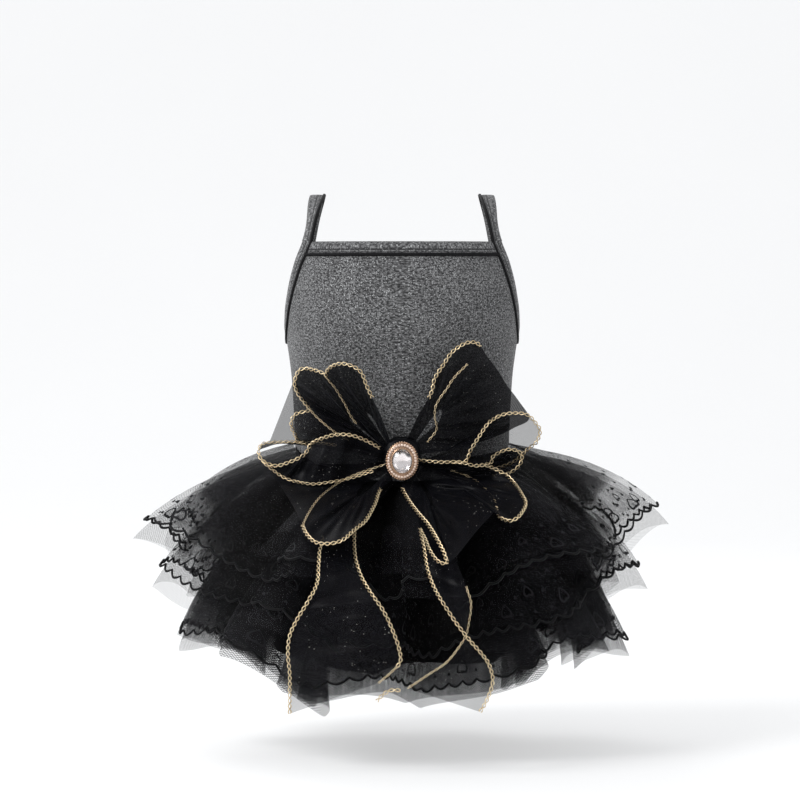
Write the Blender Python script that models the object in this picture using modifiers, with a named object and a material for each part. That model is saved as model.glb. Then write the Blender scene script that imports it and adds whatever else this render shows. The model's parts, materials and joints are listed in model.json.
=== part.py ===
"""A small dog's dress in the form it has when worn: knit bodice, tiered net skirt, ribbon bow and brooch.

Metres, +Z up. The origin lies under the two shoulder straps, midway between them. The bow is on the -Y side.
"""

import math

import bmesh
import bpy
import numpy as np
from mathutils import Vector

MM = 0.001

# Levels, measured down from the underside of the straps.
neck_drop = 25 * MM
chest_drop = 57 * MM
armhole_drop = 76 * MM
midriff_drop = 100 * MM
waist_drop = 136 * MM
waist_dip = 18 * MM

# Half sizes of the body that the dress is cut for, across and front to back.
shoulder_half_width = 46.8 * MM
shoulder_half_depth = 38 * MM
neck_half_width = 60 * MM
neck_half_depth = 44 * MM
chest_half_width = 64.4 * MM
chest_half_depth = 52 * MM
midriff_half_width = 60 * MM
midriff_half_depth = 49.5 * MM
waist_half_width = 58 * MM
waist_half_depth = 47 * MM
body_squareness = 2.4

# Cloth and bindings.
knit_wall = 1.2 * MM
net_wall = 1.0 * MM
ribbon_wall = 1.0 * MM
binding_width = 8 * MM
neck_binding_width = 7 * MM
binding_wall = 2.2 * MM
seam_gap = 0.35 * MM

# Skirt. Each reach is measured out from the waist seam, each drop down from where the tier is sewn on.
yoke_length = 36 * MM
top_reach = 79 * MM
top_front_reach = 73 * MM
top_drop = 57 * MM
middle_reach = 67 * MM
middle_front_reach = 66 * MM
middle_drop = 82 * MM
low_reach = 55 * MM
low_front_reach = 50 * MM
low_drop = 88 * MM
top_start = 3 * MM
middle_start = 14 * MM
low_start = 26 * MM
layer_gap = 3.5 * MM
ruffle_count = 15
top_ruffle = 7 * MM
middle_ruffle = 6 * MM
low_ruffle = 5 * MM
lace_share = 0.86
columns_per_ruffle = 4

# Bow. Distances are measured out from the middle of the knot.
bow_reach = 76 * MM
bow_lift = 26 * MM
knot_drop = 141 * MM
knot_half_width = 10 * MM
knot_half_height = 11 * MM
knot_depth = 13 * MM
tail_length = 117 * MM
ribbon_width = 54 * MM

# Brooch.
brooch_half_width = 8.6 * MM
brooch_half_height = 10.2 * MM
brooch_plate = 2.4 * MM
bead_diameter = 2.15 * MM
bead_count = 28
bead_seat = 0.3
bead_ring_share = 0.84
stone_half_width = 5.2 * MM
stone_half_height = 6.3 * MM
stone_depth = 3.6 * MM
table_share = 0.6
stone_facets = 14
brooch_gap = 0.3 * MM

# Columns: share of the armhole's drop, share of the body's half depth towards the front.
ARMHOLE_LINE = (
    (0.00, 0.00),
    (0.06, 0.34),
    (0.17, 0.53),
    (0.31, 0.61),
    (0.49, 0.545),
    (0.66, 0.45),
    (0.80, 0.36),
    (0.93, 0.23),
    (1.00, 0.00),
)

# Where each loop leaves the knot (degrees, 0 right, 90 up), then its front edge and its rear edge. Columns of an
# edge: direction and spread in degrees, reach as a share of the bow's, lift at the tip and at the root as shares.
BOW_LOOPS = {
    "bow_loop_top_left": (116, (117, 12, 0.80, 0.95, 0.36), (127, 8, 0.84, 0.40, 0.16)),
    "bow_loop_upper_left": (134, (139.5, 13, 0.95, 0.85, 0.36), (142, 9, 0.90, 0.30, 0.16)),
    "bow_loop_left_sheer": (153, (152, 4, 0.93, 0.24, 0.24), (168, 4, 0.93, 0.24, 0.24)),
    "bow_loop_left": (173, (175, 13, 1.00, 1.00, 0.36), (183, 10, 0.94, 0.62, 0.16)),
    "bow_loop_lower_left": (213, (219, 38, 0.84, 0.95, 0.36), (208, 30, 0.90, 0.45, 0.16)),
    "bow_loop_lower_middle": (292, (291, 9, 0.80, 0.85, 0.36), (306, 14, 0.84, 0.45, 0.16)),
    "bow_loop_lower_right": (331, (339, 22, 0.93, 1.00, 0.36), (331, 22, 0.86, 0.45, 0.16)),
    "bow_loop_small_right": (353, (358, 9, 0.84, 0.75, 0.36), (359, 8, 0.76, 0.35, 0.16)),
    "bow_loop_right": (373, (373, 14, 0.98, 1.00, 0.36), (375, 12, 0.90, 0.45, 0.16)),
    "bow_loop_upper_right": (50, (63, 10, 0.98, 0.60, 0.30), (29, 10, 0.96, 0.60, 0.22)),
}
root_spread = 10
# Share of the bow's lift by which the outward leg of a flat loop lies in front of its returning leg.
LEG_SPACING = {"bow_loop_left_sheer": 0.11, "bow_loop_upper_right": 0.14}

# Columns: share of the tail's length down, middle to the side as a share of the ribbon's width, half width as a
# share of the ribbon's width, lift as a share of the bow's.
BOW_TAILS = {
    "bow_tail_left": (
        (0.00, -0.05, 0.04, 0.12),
        (0.24, -0.52, 0.15, 0.12),
        (0.39, -0.61, 0.20, 0.13),
        (0.54, -0.54, 0.38, 0.14),
        (0.71, -0.56, 0.51, 0.18),
        (0.89, -0.59, 0.48, 0.06),
        (1.00, -0.64, 0.44, -0.15),
    ),
    "bow_tail_right": (
        (0.00, 0.05, 0.04, 0.12),
        (0.22, 0.34, 0.14, 0.12),
        (0.45, 0.47, 0.15, 0.13),
        (0.58, 0.56, 0.16, 0.14),
        (0.71, 0.58, 0.20, 0.18),
        (0.89, 0.50, 0.33, 0.06),
        (1.00, 0.44, 0.31, -0.15),
    ),
}

parts = bpy.data.collections.new("dog_dress")
cutters = bpy.data.collections.new("dog_dress_cutters")


def clear_scene():
    for old in list(bpy.data.objects):
        bpy.data.objects.remove(old, do_unlink=True)
    bpy.context.scene.collection.children.link(parts)
    bpy.context.scene.collection.children.link(cutters)


def make_material(name, colour, roughness, metallic=0.0):
    material = bpy.data.materials.new(name)
    material.use_nodes = True
    shader = material.node_tree.nodes["Principled BSDF"]
    shader.inputs["Base Color"].default_value = (*colour, 1.0)
    shader.inputs["Roughness"].default_value = roughness
    shader.inputs["Metallic"].default_value = metallic
    material.diffuse_color = (*colour, 1.0)
    return material


def smooth_through(knots, values, at):
    """A smooth curve through (knots, values), read at the given places."""
    knots = np.asarray(knots, float)
    values = np.asarray(values, float)
    slopes = np.gradient(values, knots)
    at = np.clip(np.asarray(at, float), knots[0], knots[-1])
    i = np.clip(np.searchsorted(knots, at, side="right") - 1, 0, len(knots) - 2)
    step = knots[i + 1] - knots[i]
    s = (at - knots[i]) / step
    start = (2 * s**3 - 3 * s**2 + 1) * values[i] + (s**3 - 2 * s**2 + s) * step * slopes[i]
    end = (3 * s**2 - 2 * s**3) * values[i + 1] + (s**3 - s**2) * step * slopes[i + 1]
    return start + end


# The body's half sizes at each level, shoulder to waist.
LEVELS = (0.0, neck_drop, chest_drop, midriff_drop, waist_drop)
HALF_WIDTHS = (shoulder_half_width, neck_half_width, chest_half_width, midriff_half_width, waist_half_width)
HALF_DEPTHS = (shoulder_half_depth, neck_half_depth, chest_half_depth, midriff_half_depth, waist_half_depth)


def half_width(down):
    return float(smooth_through(LEVELS, HALF_WIDTHS, down))


def half_depth(down):
    return float(smooth_through(LEVELS, HALF_DEPTHS, down))


def outline(angle, across, deep, squareness=body_squareness):
    """A point of a rounded oval; angle 0 is the front, a quarter turn is the dress's right in the view."""
    s = math.sin(angle)
    c = math.cos(angle)
    x = across * math.copysign(abs(s) ** (2 / squareness), s)
    y = -deep * math.copysign(abs(c) ** (2 / squareness), c)
    return x, y


def body_point(angle, down):
    x, y = outline(angle, half_width(down), half_depth(down))
    return Vector((x, y, -down))


def body_angle(point):
    """The angle at which a point lies on the body's outline."""
    s = math.copysign((abs(point.x) / half_width(-point.z)) ** (body_squareness / 2), point.x)
    c = math.copysign((abs(point.y) / half_depth(-point.z)) ** (body_squareness / 2), -point.y)
    return math.atan2(s, c)


def body_normal(point):
    a = half_width(-point.z)
    b = half_depth(-point.z)
    x = math.copysign((abs(point.x) / a) ** (body_squareness - 1), point.x) / a
    y = math.copysign((abs(point.y) / b) ** (body_squareness - 1), point.y) / b
    return Vector((x, y, 0)).normalized()


def waist_level(angle):
    """How far down the waist seam lies; it dips at the front."""
    forward = max(0.0, math.cos(angle))
    return waist_drop + waist_dip * forward**1.5


def mapped_grid(name, along, across, place, closed_ring=False):
    """A grid of along x across cells whose points are moved to place(u, v), with u and v from 0 to 1."""
    mesh = bpy.data.meshes.new(name)
    grid = bmesh.new()
    bmesh.ops.create_grid(grid, x_segments=along, y_segments=across, size=0.5)
    for vert in grid.verts:
        u = round((vert.co.x + 0.5) * along) / along
        v = round((vert.co.y + 0.5) * across) / across
        vert.co = place(0.0 if closed_ring and u == 1.0 else u, v)
    if closed_ring:
        bmesh.ops.remove_doubles(grid, verts=grid.verts, dist=1e-6)
    bmesh.ops.recalc_face_normals(grid, faces=grid.faces)
    grid.to_mesh(mesh)
    grid.free()
    return mesh


def cloth(name, mesh, wall, material):
    """An object whose open sheet gets its thickness from a Solidify modifier."""
    made = bpy.data.objects.new(name, mesh)
    parts.objects.link(made)
    made.data.materials.append(material)
    made.data.shade_smooth()
    thick = made.modifiers.new("thickness", "SOLIDIFY")
    thick.thickness = wall
    thick.offset = 0.0
    thick.use_even_offset = True
    thick.use_quality_normals = True
    return made


def loop_centre(share, side):
    """The middle line of the armhole strip; share 0 is the strap's top, 0.5 the armhole's bottom."""
    front = share <= 0.5
    t = 2 * share if front else 2 * (1 - share)
    rows = np.array(ARMHOLE_LINE)
    lengths = np.concatenate([[0], np.cumsum(np.hypot(np.diff(rows[:, 0]), 0.6 * np.diff(rows[:, 1])))])
    at = t * lengths[-1]
    down = armhole_drop * float(smooth_through(lengths, rows[:, 0], at))
    forward = float(smooth_through(lengths, rows[:, 1], at))
    x = half_width(down) * max(0.0, 1 - forward**body_squareness) ** (1 / body_squareness)
    y = half_depth(down) * forward
    return Vector((side * x, -y if front else y, -down))


def loop_frame(share, side):
    """Middle point and width direction of the strip; the width direction points to the bodice and neck."""
    step = 0.004
    point = loop_centre(share, side)
    along = (loop_centre((share + step) % 1, side) - loop_centre((share - step) % 1, side)).normalized()
    outward = body_normal(point)
    on_top = max(0.0, 1 + point.z / neck_drop)
    outward = (outward * (1 - on_top) + Vector((0, 0, 1)) * on_top).normalized()
    width = along.cross(outward).normalized()
    return point, width if side > 0 else -width


def loop_edge(share, side, out):
    """A point beside the strip's middle line, out metres towards the bodice."""
    point, width = loop_frame(share, side)
    moved = point + width * out
    if -moved.z > neck_drop:
        # On the body, the strip lies on its surface.
        return body_point(body_angle(moved), -moved.z)
    return moved


loop_steps = 32


def make_armhole_strap(name, side, material):
    half = binding_width / 2

    def place(u, v):
        return loop_edge(u, side, half * (2 * v - 1))

    return cloth(name, mapped_grid(name, loop_steps, 1, place, closed_ring=True), binding_wall, material)


def armhole_border():
    """The bodice's edge along the right armhole, front neck corner to back neck corner: (angle, level) pairs."""
    out = binding_width / 2 + seam_gap
    edge = neck_drop + neck_binding_width + seam_gap
    found = [loop_edge(k / loop_steps, 1, out) for k in range(loop_steps)]
    pairs = [(body_angle(p), -p.z) for p in found]
    inside = [k for k in range(loop_steps) if pairs[k][1] > edge]
    first = inside[0]
    last = inside[-1]

    def corner(above, below):
        share = (edge - pairs[above][1]) / (pairs[below][1] - pairs[above][1])
        return pairs[above][0] + share * (pairs[below][0] - pairs[above][0]), edge

    front = corner(first - 1, first)
    back = corner(last + 1, last)
    return [front, *[pairs[k] for k in inside], back]


neck_columns = 10
bodice_rows = 4


def bodice_border():
    """Angles and levels of the bodice's upper edge, once round from the front's left corner."""
    right = armhole_border()
    left = [(-angle, level) for angle, level in reversed(right)]
    edge = neck_drop + neck_binding_width + seam_gap
    front_corner = right[0][0]
    back_corner = right[-1][0]
    border = []
    for k in range(neck_columns):
        border.append((-front_corner + 2 * front_corner * k / neck_columns, edge))
    border.extend(right)
    back_span = 2 * (math.pi - back_corner)
    for k in range(1, neck_columns + 1):
        border.append((back_corner + back_span * k / neck_columns, edge))
    border.extend([(angle + 2 * math.pi, level) for angle, level in left[1:-1]])
    return border


def make_bodice(material):
    border = bodice_border()
    count = len(border)

    def place(u, v):
        angle, top = border[round(u * count) % count]
        down = waist_level(angle) + (top - waist_level(angle)) * v
        return body_point(angle, down)

    return cloth("bodice", mapped_grid("bodice", count, bodice_rows, place, closed_ring=True), knit_wall, material)


def make_neck_binding(name, back, material):
    """A strip between the straps, over the bodice's straight neck edge."""
    out = binding_width / 2 + seam_gap
    shares = [0.5 + 0.5 * (1 - k / 40) if back else 0.5 * k / 40 for k in range(41)]
    edges = [loop_edge(share, 1, out) for share in shares]
    levels = [-p.z for p in edges]
    angles = [body_angle(p) for p in edges]
    last = levels.index(max(levels))

    def end_angle(level):
        return float(np.interp(level, levels[4:last], angles[4:last]))

    def place(u, v):
        level = neck_drop + neck_binding_width * v
        middle = math.pi if back else 0.0
        reach = abs(middle - end_angle(level)) - seam_gap / half_width(level)
        return body_point(middle - reach * (1 - 2 * u), level)

    return cloth(name, mapped_grid(name, neck_columns, 1, place), binding_wall, material)


skirt_columns = ruffle_count * columns_per_ruffle


def make_yoke(material):
    def place(u, v):
        angle = 2 * math.pi * u
        down = waist_level(angle) + 2 * seam_gap + yoke_length * v
        x, y = outline(angle, waist_half_width, waist_half_depth)
        return Vector((x, y, -down))

    return cloth("skirt_yoke", mapped_grid("skirt_yoke", skirt_columns, 1, place, closed_ring=True), knit_wall, material)


def fold_wave(angle, turn):
    """Triangular folds of uneven depth round the skirt, from -1 to 1."""
    wave = 2 / math.pi * math.asin(math.sin(ruffle_count * angle + turn * math.pi / 2))
    return wave * (0.78 + 0.22 * math.sin(4 * angle + 0.7 + turn))


def tier_profile(angle, t):
    """Shares of the reach and of the drop at share t of a tier; the front falls straighter than the sides."""
    straight = 0.85 * max(0.0, math.cos(angle)) ** 1.5
    turned = t * math.pi / 2
    out = (1 - straight) * math.sin(turned) + straight * t
    fall = (1 - straight) * (1 - math.cos(turned)) + straight * t
    return out, fall


def tier_point(angle, t, start, reaches, drop, ruffle, offset, turn):
    """A point of a tier; t runs from the seam to the hem, offset lifts it off the tier's own net."""
    seat = knit_wall / 2 + net_wall / 2 + 2 * seam_gap
    x0, y0 = outline(angle, waist_half_width + seat, waist_half_depth + seat)
    uneven = 1 + 0.035 * math.sin(5 * angle + 1.3 + turn)
    round_out = 2 + (body_squareness - 2) * (1 - t)
    x1, y1 = outline(angle, waist_half_width + reaches[0], waist_half_depth + reaches[1], round_out)
    outward = Vector((x1 - x0, y1 - y0, 0)) * uneven
    reach = outward.length
    outward.normalize()
    out, fall = tier_profile(angle, t)
    next_out, next_fall = tier_profile(angle, t + 0.01)
    level = waist_level(angle) + start + drop * fall * (1 + 0.04 * math.sin(3 * angle + turn))
    normal = Vector((drop * (next_fall - fall), reach * (next_out - out))).normalized()
    sideways = normal.x * min(1.0, 4 * t)
    shift = offset + ruffle * t**1.4 * fold_wave(angle, turn)
    place = Vector((x0, y0, 0)) + outward * (reach * out + sideways * shift)
    place.z = -level + normal.y * shift + (offset * (1 - normal.y) * max(0.0, 1 - 4 * t))
    return place


# Name: start below the waist, reaches to the side and the front, drop, fold depth, offset, part of the length, turn, rows.
TIERS = {
    "lace_tier_1": (top_start, (top_reach, top_front_reach), top_drop, top_ruffle, layer_gap, lace_share, 0, 4),
    "tulle_tier_1": (top_start, (top_reach, top_front_reach), top_drop, top_ruffle, 0.0, 1.0, 0, 4),
    "tulle_tier_2": (
        middle_start, (middle_reach, middle_front_reach), middle_drop, middle_ruffle, 0.0, 1.0, 1, 3,
    ),
    "lace_tier_3": (low_start, (low_reach, low_front_reach), low_drop, low_ruffle, layer_gap, lace_share, 2, 3),
    "tulle_tier_3": (low_start, (low_reach, low_front_reach), low_drop, low_ruffle, 0.0, 1.0, 2, 3),
}


def make_tier(name, material):
    start, reaches, drop, ruffle, offset, part, turn, rows = TIERS[name]

    def place(u, v):
        t = v if v < 1.0 else part
        return tier_point(2 * math.pi * u, t, start, reaches, drop, ruffle, offset, turn)

    return cloth(name, mapped_grid(name, skirt_columns, rows, place, closed_ring=True), net_wall, material)


def front_depth(x, down):
    """How far forward the bodice or the skirt's front comes at a place of the front view."""
    wide = half_width(min(down, waist_drop))
    deep = half_depth(min(down, waist_drop))
    angle = math.asin(min(0.9, abs(x) / (wide + 0.6 * top_reach)))
    fallen = (down - waist_level(angle) - top_start + layer_gap) / top_drop
    if fallen > 0:
        shares = np.linspace(0, 1, 41)
        outs, falls = np.array([tier_profile(angle, t) for t in shares]).T
        t = float(np.interp(fallen, falls, shares))
        out = float(np.interp(t, shares, outs))
        wide += top_reach * out + (top_ruffle + layer_gap) * min(1.0, 2 * t)
        deep += top_front_reach * out + (top_ruffle + layer_gap) * min(1.0, 2 * t)
    sideways = min(0.85, abs(x) / wide)
    return deep * (1 - sideways**body_squareness) ** (1 / body_squareness) + net_wall + knit_wall


def seated_depth(down):
    """Half depth at which a piece rests on the front's middle at a level, with its seam gap."""
    return front_depth(0.0, down) - net_wall - knit_wall / 2 + seam_gap


# The knot rests on the bodice at its top edge, or on the skirt at its bottom edge where that stands further forward.
knit_seat = half_depth(knot_drop - knot_half_height) + knit_wall / 2 + seam_gap
knot_seat = max(knit_seat, seated_depth(knot_drop + knot_half_height))
bow_forward = knot_seat - knit_seat


def bow_point(degrees, distance, lift):
    """A point of the bow from its direction and distance in the front view and its lift off the dress."""
    x = distance * math.cos(math.radians(degrees))
    down = knot_drop - distance * math.sin(math.radians(degrees))
    return Vector((x, -front_depth(x, down) - lift - bow_forward, -down))


def knot_rim(degrees):
    """The knot's half size in a direction, with the gap that the ribbons keep."""
    c = math.cos(math.radians(degrees)) / knot_half_width
    s = math.sin(math.radians(degrees)) / knot_half_height
    return 1 / math.hypot(c, s) + seam_gap


loop_cells = 12
tail_cells = 12


def make_bow_loop(name, material):
    root, front_row, rear_row = BOW_LOOPS[name]
    spacing = LEG_SPACING.get(name, 0.0)

    def edge(u, direction, spread, reach, lift, root_lift):
        bulge = math.sin(math.pi * u)
        leg = math.cos(math.pi * u)
        away = min(1.0, 1.6 * bulge)
        middle = root + (direction - root) * away
        angle = middle + leg * (root_spread + (spread - root_spread) * away) / 2
        rim = knot_rim(angle)
        distance = rim + (reach * bow_reach - rim) * bulge**0.85
        height = bow_lift * (root_lift + (lift - root_lift) * bulge**0.7 + spacing * leg)
        return bow_point(angle, distance, height)

    def place(u, v):
        return edge(u, *front_row).lerp(edge(u, *rear_row), v)

    return cloth(name, mapped_grid(name, loop_cells, 2, place), ribbon_wall, material)


def make_bow_tail(name, material):
    rows = np.array(BOW_TAILS[name])

    def place(u, v):
        downs = rows[:, 0] * tail_length
        down = downs[0] + (downs[-1] - downs[0]) * u
        middle = float(smooth_through(downs, rows[:, 1] * ribbon_width, down))
        half = float(smooth_through(downs, rows[:, 2] * ribbon_width, down))
        lift = float(smooth_through(downs, rows[:, 3] * bow_lift, down))
        x = middle + half * (2 * v - 1)
        level = knot_drop + knot_half_height + seam_gap + down
        return Vector((x, -front_depth(x, level) - lift - bow_forward, -level))

    return cloth(name, mapped_grid(name, tail_cells, 2, place), ribbon_wall, material)


def oval_disc(name, half_across, half_high, depth, back, material, sides, rounding):
    """An upright oval disc facing -Y, its flat back at y = back."""
    mesh = bpy.data.meshes.new(name)
    disc = bmesh.new()
    bmesh.ops.create_cone(disc, cap_ends=True, segments=sides, radius1=1.0, radius2=1.0, depth=depth)
    for vert in disc.verts:
        vert.co = Vector((vert.co.x * half_across, back - depth / 2 - vert.co.z, vert.co.y * half_high))
    bmesh.ops.recalc_face_normals(disc, faces=disc.faces)
    front = [edge for edge in disc.edges if all(v.co.y < back - depth / 2 for v in edge.verts)]
    bmesh.ops.bevel(
        disc, geom=front, offset=rounding, segments=2, profile=0.5, affect="EDGES", material=-1, clamp_overlap=True
    )
    disc.to_mesh(mesh)
    disc.free()
    made = bpy.data.objects.new(name, mesh)
    made.location = (0, 0, -knot_drop)
    parts.objects.link(made)
    made.data.materials.append(material)
    made.data.shade_smooth()
    return made


knot_back = -knot_seat
knot_front = knot_back - knot_depth
plate_front = knot_front - brooch_gap - brooch_plate


def make_knot(material):
    return oval_disc(
        "bow_knot", knot_half_width, knot_half_height, knot_depth, knot_back, material, 20, 0.3 * knot_half_width
    )


def make_setting(material):
    return oval_disc(
        "brooch_setting",
        brooch_half_width,
        brooch_half_height,
        brooch_plate,
        knot_front - brooch_gap,
        material,
        30,
        0.3 * brooch_plate,
    )


def bead_mesh(name, place):
    """A round bead whose back is ground flat where it sits on the plate."""
    mesh = bpy.data.meshes.new(name)
    ball = bmesh.new()
    bmesh.ops.create_uvsphere(ball, u_segments=10, v_segments=4, radius=bead_diameter / 2)
    for vert in ball.verts:
        vert.co = Vector((vert.co.x, min(-vert.co.z, bead_diameter * bead_seat), vert.co.y)) + place
    bmesh.ops.recalc_face_normals(ball, faces=ball.faces)
    ball.to_mesh(mesh)
    ball.free()
    return mesh


def make_bead_ring(material):
    """Round beads in an oval, each run into the next, made one body."""
    middle = plate_front - brooch_gap - bead_diameter * bead_seat
    across = brooch_half_width * bead_ring_share
    high = brooch_half_height * bead_ring_share
    others = bpy.data.collections.new("bead_cutters")
    cutters.children.link(others)
    others.hide_render = True
    ring = None
    for k, angle in enumerate(even_angles(across, high, bead_count)):
        place = Vector((across * math.cos(angle), middle, -knot_drop + high * math.sin(angle)))
        if k == 0:
            ring = bpy.data.objects.new("brooch_bead_ring", bead_mesh("brooch_bead_ring", place))
            parts.objects.link(ring)
            continue
        bead = bpy.data.objects.new(f"bead_{k}", bead_mesh(f"bead_{k}", place))
        others.objects.link(bead)
        bead.hide_render = True
        bead.display_type = "WIRE"
    ring.data.materials.append(material)
    join = ring.modifiers.new("beads", "BOOLEAN")
    join.operation = "UNION"
    join.operand_type = "COLLECTION"
    join.collection = others
    join.solver = "EXACT"
    return ring


def even_angles(across, high, count):
    """Angles that share an oval's length evenly."""
    fine = np.linspace(0, 2 * math.pi, 721)
    steps = np.hypot(across * np.diff(np.cos(fine)), high * np.diff(np.sin(fine)))
    lengths = np.concatenate([[0], np.cumsum(steps)])
    return [float(np.interp(lengths[-1] * k / count, lengths, fine)) for k in range(count)]


def make_stone(material):
    """An oval cut stone: pavilion under a girdle, a row of crown facets and a flat table."""
    # Columns: share of the half sizes, share of the depth towards the front.
    levels = ((0.86, 0.0), (1.0, 0.30), (1.0, 0.42), (table_share, 1.0))
    back = plate_front - brooch_gap
    mesh = bpy.data.meshes.new("brooch_stone")
    cut = bmesh.new()
    rings = []
    for k, (share, front) in enumerate(levels):
        turn = 0.5 if k == len(levels) - 1 else 0.0
        ring = []
        for n in range(stone_facets):
            angle = 2 * math.pi * (n + turn) / stone_facets
            x = stone_half_width * share * math.cos(angle)
            z = stone_half_height * share * math.sin(angle)
            ring.append(cut.verts.new((x, back - stone_depth * front, z)))
        rings.append(ring)
    hull = bmesh.ops.convex_hull(cut, input=cut.verts)
    bmesh.ops.delete(cut, geom=[g for g in hull["geom_interior"] if isinstance(g, bmesh.types.BMVert)], context="VERTS")
    bmesh.ops.recalc_face_normals(cut, faces=cut.faces)
    cut.to_mesh(mesh)
    cut.free()
    made = bpy.data.objects.new("brooch_stone", mesh)
    made.location = (0, 0, -knot_drop)
    parts.objects.link(made)
    made.data.materials.append(material)
    return made


def main():
    clear_scene()
    knit = make_material("grey_knit", (0.13, 0.13, 0.13), 0.85)
    binding = make_material("grey_binding", (0.15, 0.15, 0.15), 0.8)
    lining = make_material("black_lining", (0.012, 0.012, 0.013), 0.8)
    lace = make_material("black_lace", (0.006, 0.006, 0.007), 0.6)
    tulle = make_material("black_tulle", (0.010, 0.010, 0.011), 0.7)
    organza = make_material("black_organza", (0.014, 0.014, 0.016), 0.4)
    rose_gold = make_material("rose_gold", (0.58, 0.33, 0.20), 0.25, 1.0)
    pearl = make_material("pink_pearl", (0.72, 0.48, 0.40), 0.2)
    glass = make_material("clear_stone", (0.80, 0.78, 0.80), 0.05)
    make_bodice(knit)
    make_neck_binding("neck_binding_front", False, binding)
    make_neck_binding("neck_binding_back", True, binding)
    make_armhole_strap("armhole_strap_left", -1, binding)
    make_armhole_strap("armhole_strap_right", 1, binding)
    make_yoke(lining)
    for name in TIERS:
        make_tier(name, lace if name.startswith("lace") else tulle)
    for name in BOW_LOOPS:
        make_bow_loop(name, organza)
    for name in BOW_TAILS:
        make_bow_tail(name, organza)
    make_knot(organza)
    make_setting(rose_gold)
    make_bead_ring(pearl)
    make_stone(glass)


main()
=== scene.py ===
# %% [markdown]
# # A small dog's dress
# Three kinds of cloth make this dress: a stretchy grey knit on top, stiff net and lace in tiers below, and
# sheer ribbon with a gold twisted edge for the bow. The imported model gives every piece its place and its
# size. The cells below replace its plain solids by finer surfaces, each with the finish of the real cloth.

# %% Load the imported model
import json
import math

import bmesh
import bpy
import numpy as np
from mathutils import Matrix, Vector

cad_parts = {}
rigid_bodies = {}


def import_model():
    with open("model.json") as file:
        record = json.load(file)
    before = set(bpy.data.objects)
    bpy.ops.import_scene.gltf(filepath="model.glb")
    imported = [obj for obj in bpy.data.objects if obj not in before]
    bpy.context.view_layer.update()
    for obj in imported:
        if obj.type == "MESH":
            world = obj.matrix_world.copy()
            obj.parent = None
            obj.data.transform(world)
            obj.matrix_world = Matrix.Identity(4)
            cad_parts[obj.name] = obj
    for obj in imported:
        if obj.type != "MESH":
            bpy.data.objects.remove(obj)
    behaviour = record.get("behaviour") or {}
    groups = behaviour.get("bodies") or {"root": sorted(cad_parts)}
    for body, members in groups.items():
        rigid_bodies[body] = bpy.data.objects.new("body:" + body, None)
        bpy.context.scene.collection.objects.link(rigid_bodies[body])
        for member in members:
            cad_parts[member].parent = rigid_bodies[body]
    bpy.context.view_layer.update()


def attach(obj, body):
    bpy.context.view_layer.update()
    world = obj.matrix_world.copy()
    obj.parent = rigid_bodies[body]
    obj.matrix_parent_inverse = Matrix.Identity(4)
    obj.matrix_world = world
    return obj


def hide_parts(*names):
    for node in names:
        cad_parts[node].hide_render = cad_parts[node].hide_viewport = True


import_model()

# %% [markdown]
# ## Camera first
# A long lens, two metres away and a little above the middle of the dress, keeps the skirt's near and far
# hems close together in the picture. It is set before anything else, so that each new piece can be looked
# at as it is made.

# %% The camera
MM = 0.001
VIEW_DISTANCE = 2.0
VIEW_HEIGHT = -0.050
VIEW_SIDE = -0.0011
VIEW_TILT = 1.77

lens = bpy.data.cameras.new("camera")
lens.lens = 163.6
lens.sensor_width = 36
camera = bpy.data.objects.new("camera", lens)
camera.location = (VIEW_SIDE, -VIEW_DISTANCE, VIEW_HEIGHT)
camera.rotation_euler = (math.radians(90 - VIEW_TILT), 0, 0)
bpy.context.scene.collection.objects.link(camera)
bpy.context.scene.camera = camera
print("camera looks from", tuple(round(v, 3) for v in camera.location))

# %% [markdown]
# ## The dress's measures
# Levels run down from the underside of the straps. The body is a rounded oval, wider than deep, whose half
# sizes change from level to level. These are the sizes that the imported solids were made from, so that cloth
# which is built from them lies where its solid lies.

# %% Sizes of the body and the skirt
NECK, ARMHOLE, WAIST, WAIST_DIP = (v * MM for v in (25, 76, 136, 18))
LEVELS = np.array([0.0, 25, 57, 100, 136]) * MM
HALF_WIDTHS = np.array([46.8, 60, 64.4, 60, 58]) * MM
HALF_DEPTHS = np.array([38, 44, 52, 49.5, 47]) * MM
SQUARENESS = 2.4
BINDING, NECK_BINDING, BINDING_WALL = 8 * MM, 7 * MM, 2.2 * MM
SEAM_CORD, SEAM_LIFT = 0.95 * MM, 0.75 * MM
SEAM_GAP, KNIT_WALL, NET_WALL = 0.35 * MM, 1.2 * MM, 1.0 * MM
PLEATS = 10
KNOT_DROP, KNOT_WIDE, KNOT_HIGH, KNOT_DEEP = 141 * MM, 10 * MM, 11 * MM, 13 * MM


def smooth_through(knots, values, at):
    """A smooth curve through (knots, values), read at the given places."""
    knots, values = np.asarray(knots, float), np.asarray(values, float)
    slopes = np.gradient(values, knots, axis=0)
    at = np.clip(np.asarray(at, float), knots[0], knots[-1])
    i = np.clip(np.searchsorted(knots, at, side="right") - 1, 0, len(knots) - 2)
    step = knots[i + 1] - knots[i]
    s = (at - knots[i]) / step
    if values.ndim == 2:
        s, step = s[..., None], step[..., None]
    start = (2 * s**3 - 3 * s**2 + 1) * values[i] + (s**3 - 2 * s**2 + s) * step * slopes[i]
    return start + (3 * s**2 - 2 * s**3) * values[i + 1] + (s**3 - s**2) * step * slopes[i + 1]


def half_width(down):
    return smooth_through(LEVELS, HALF_WIDTHS, down)


def half_depth(down):
    return smooth_through(LEVELS, HALF_DEPTHS, down)


def oval(angle, across, deep, squareness=SQUARENESS):
    """Points of a rounded oval; angle 0 is the front, a quarter turn is the right of the view."""
    s, c = np.sin(angle), np.cos(angle)
    x = across * np.sign(s) * np.abs(s) ** (2 / squareness)
    y = -deep * np.sign(c) * np.abs(c) ** (2 / squareness)
    return x, y


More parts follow.
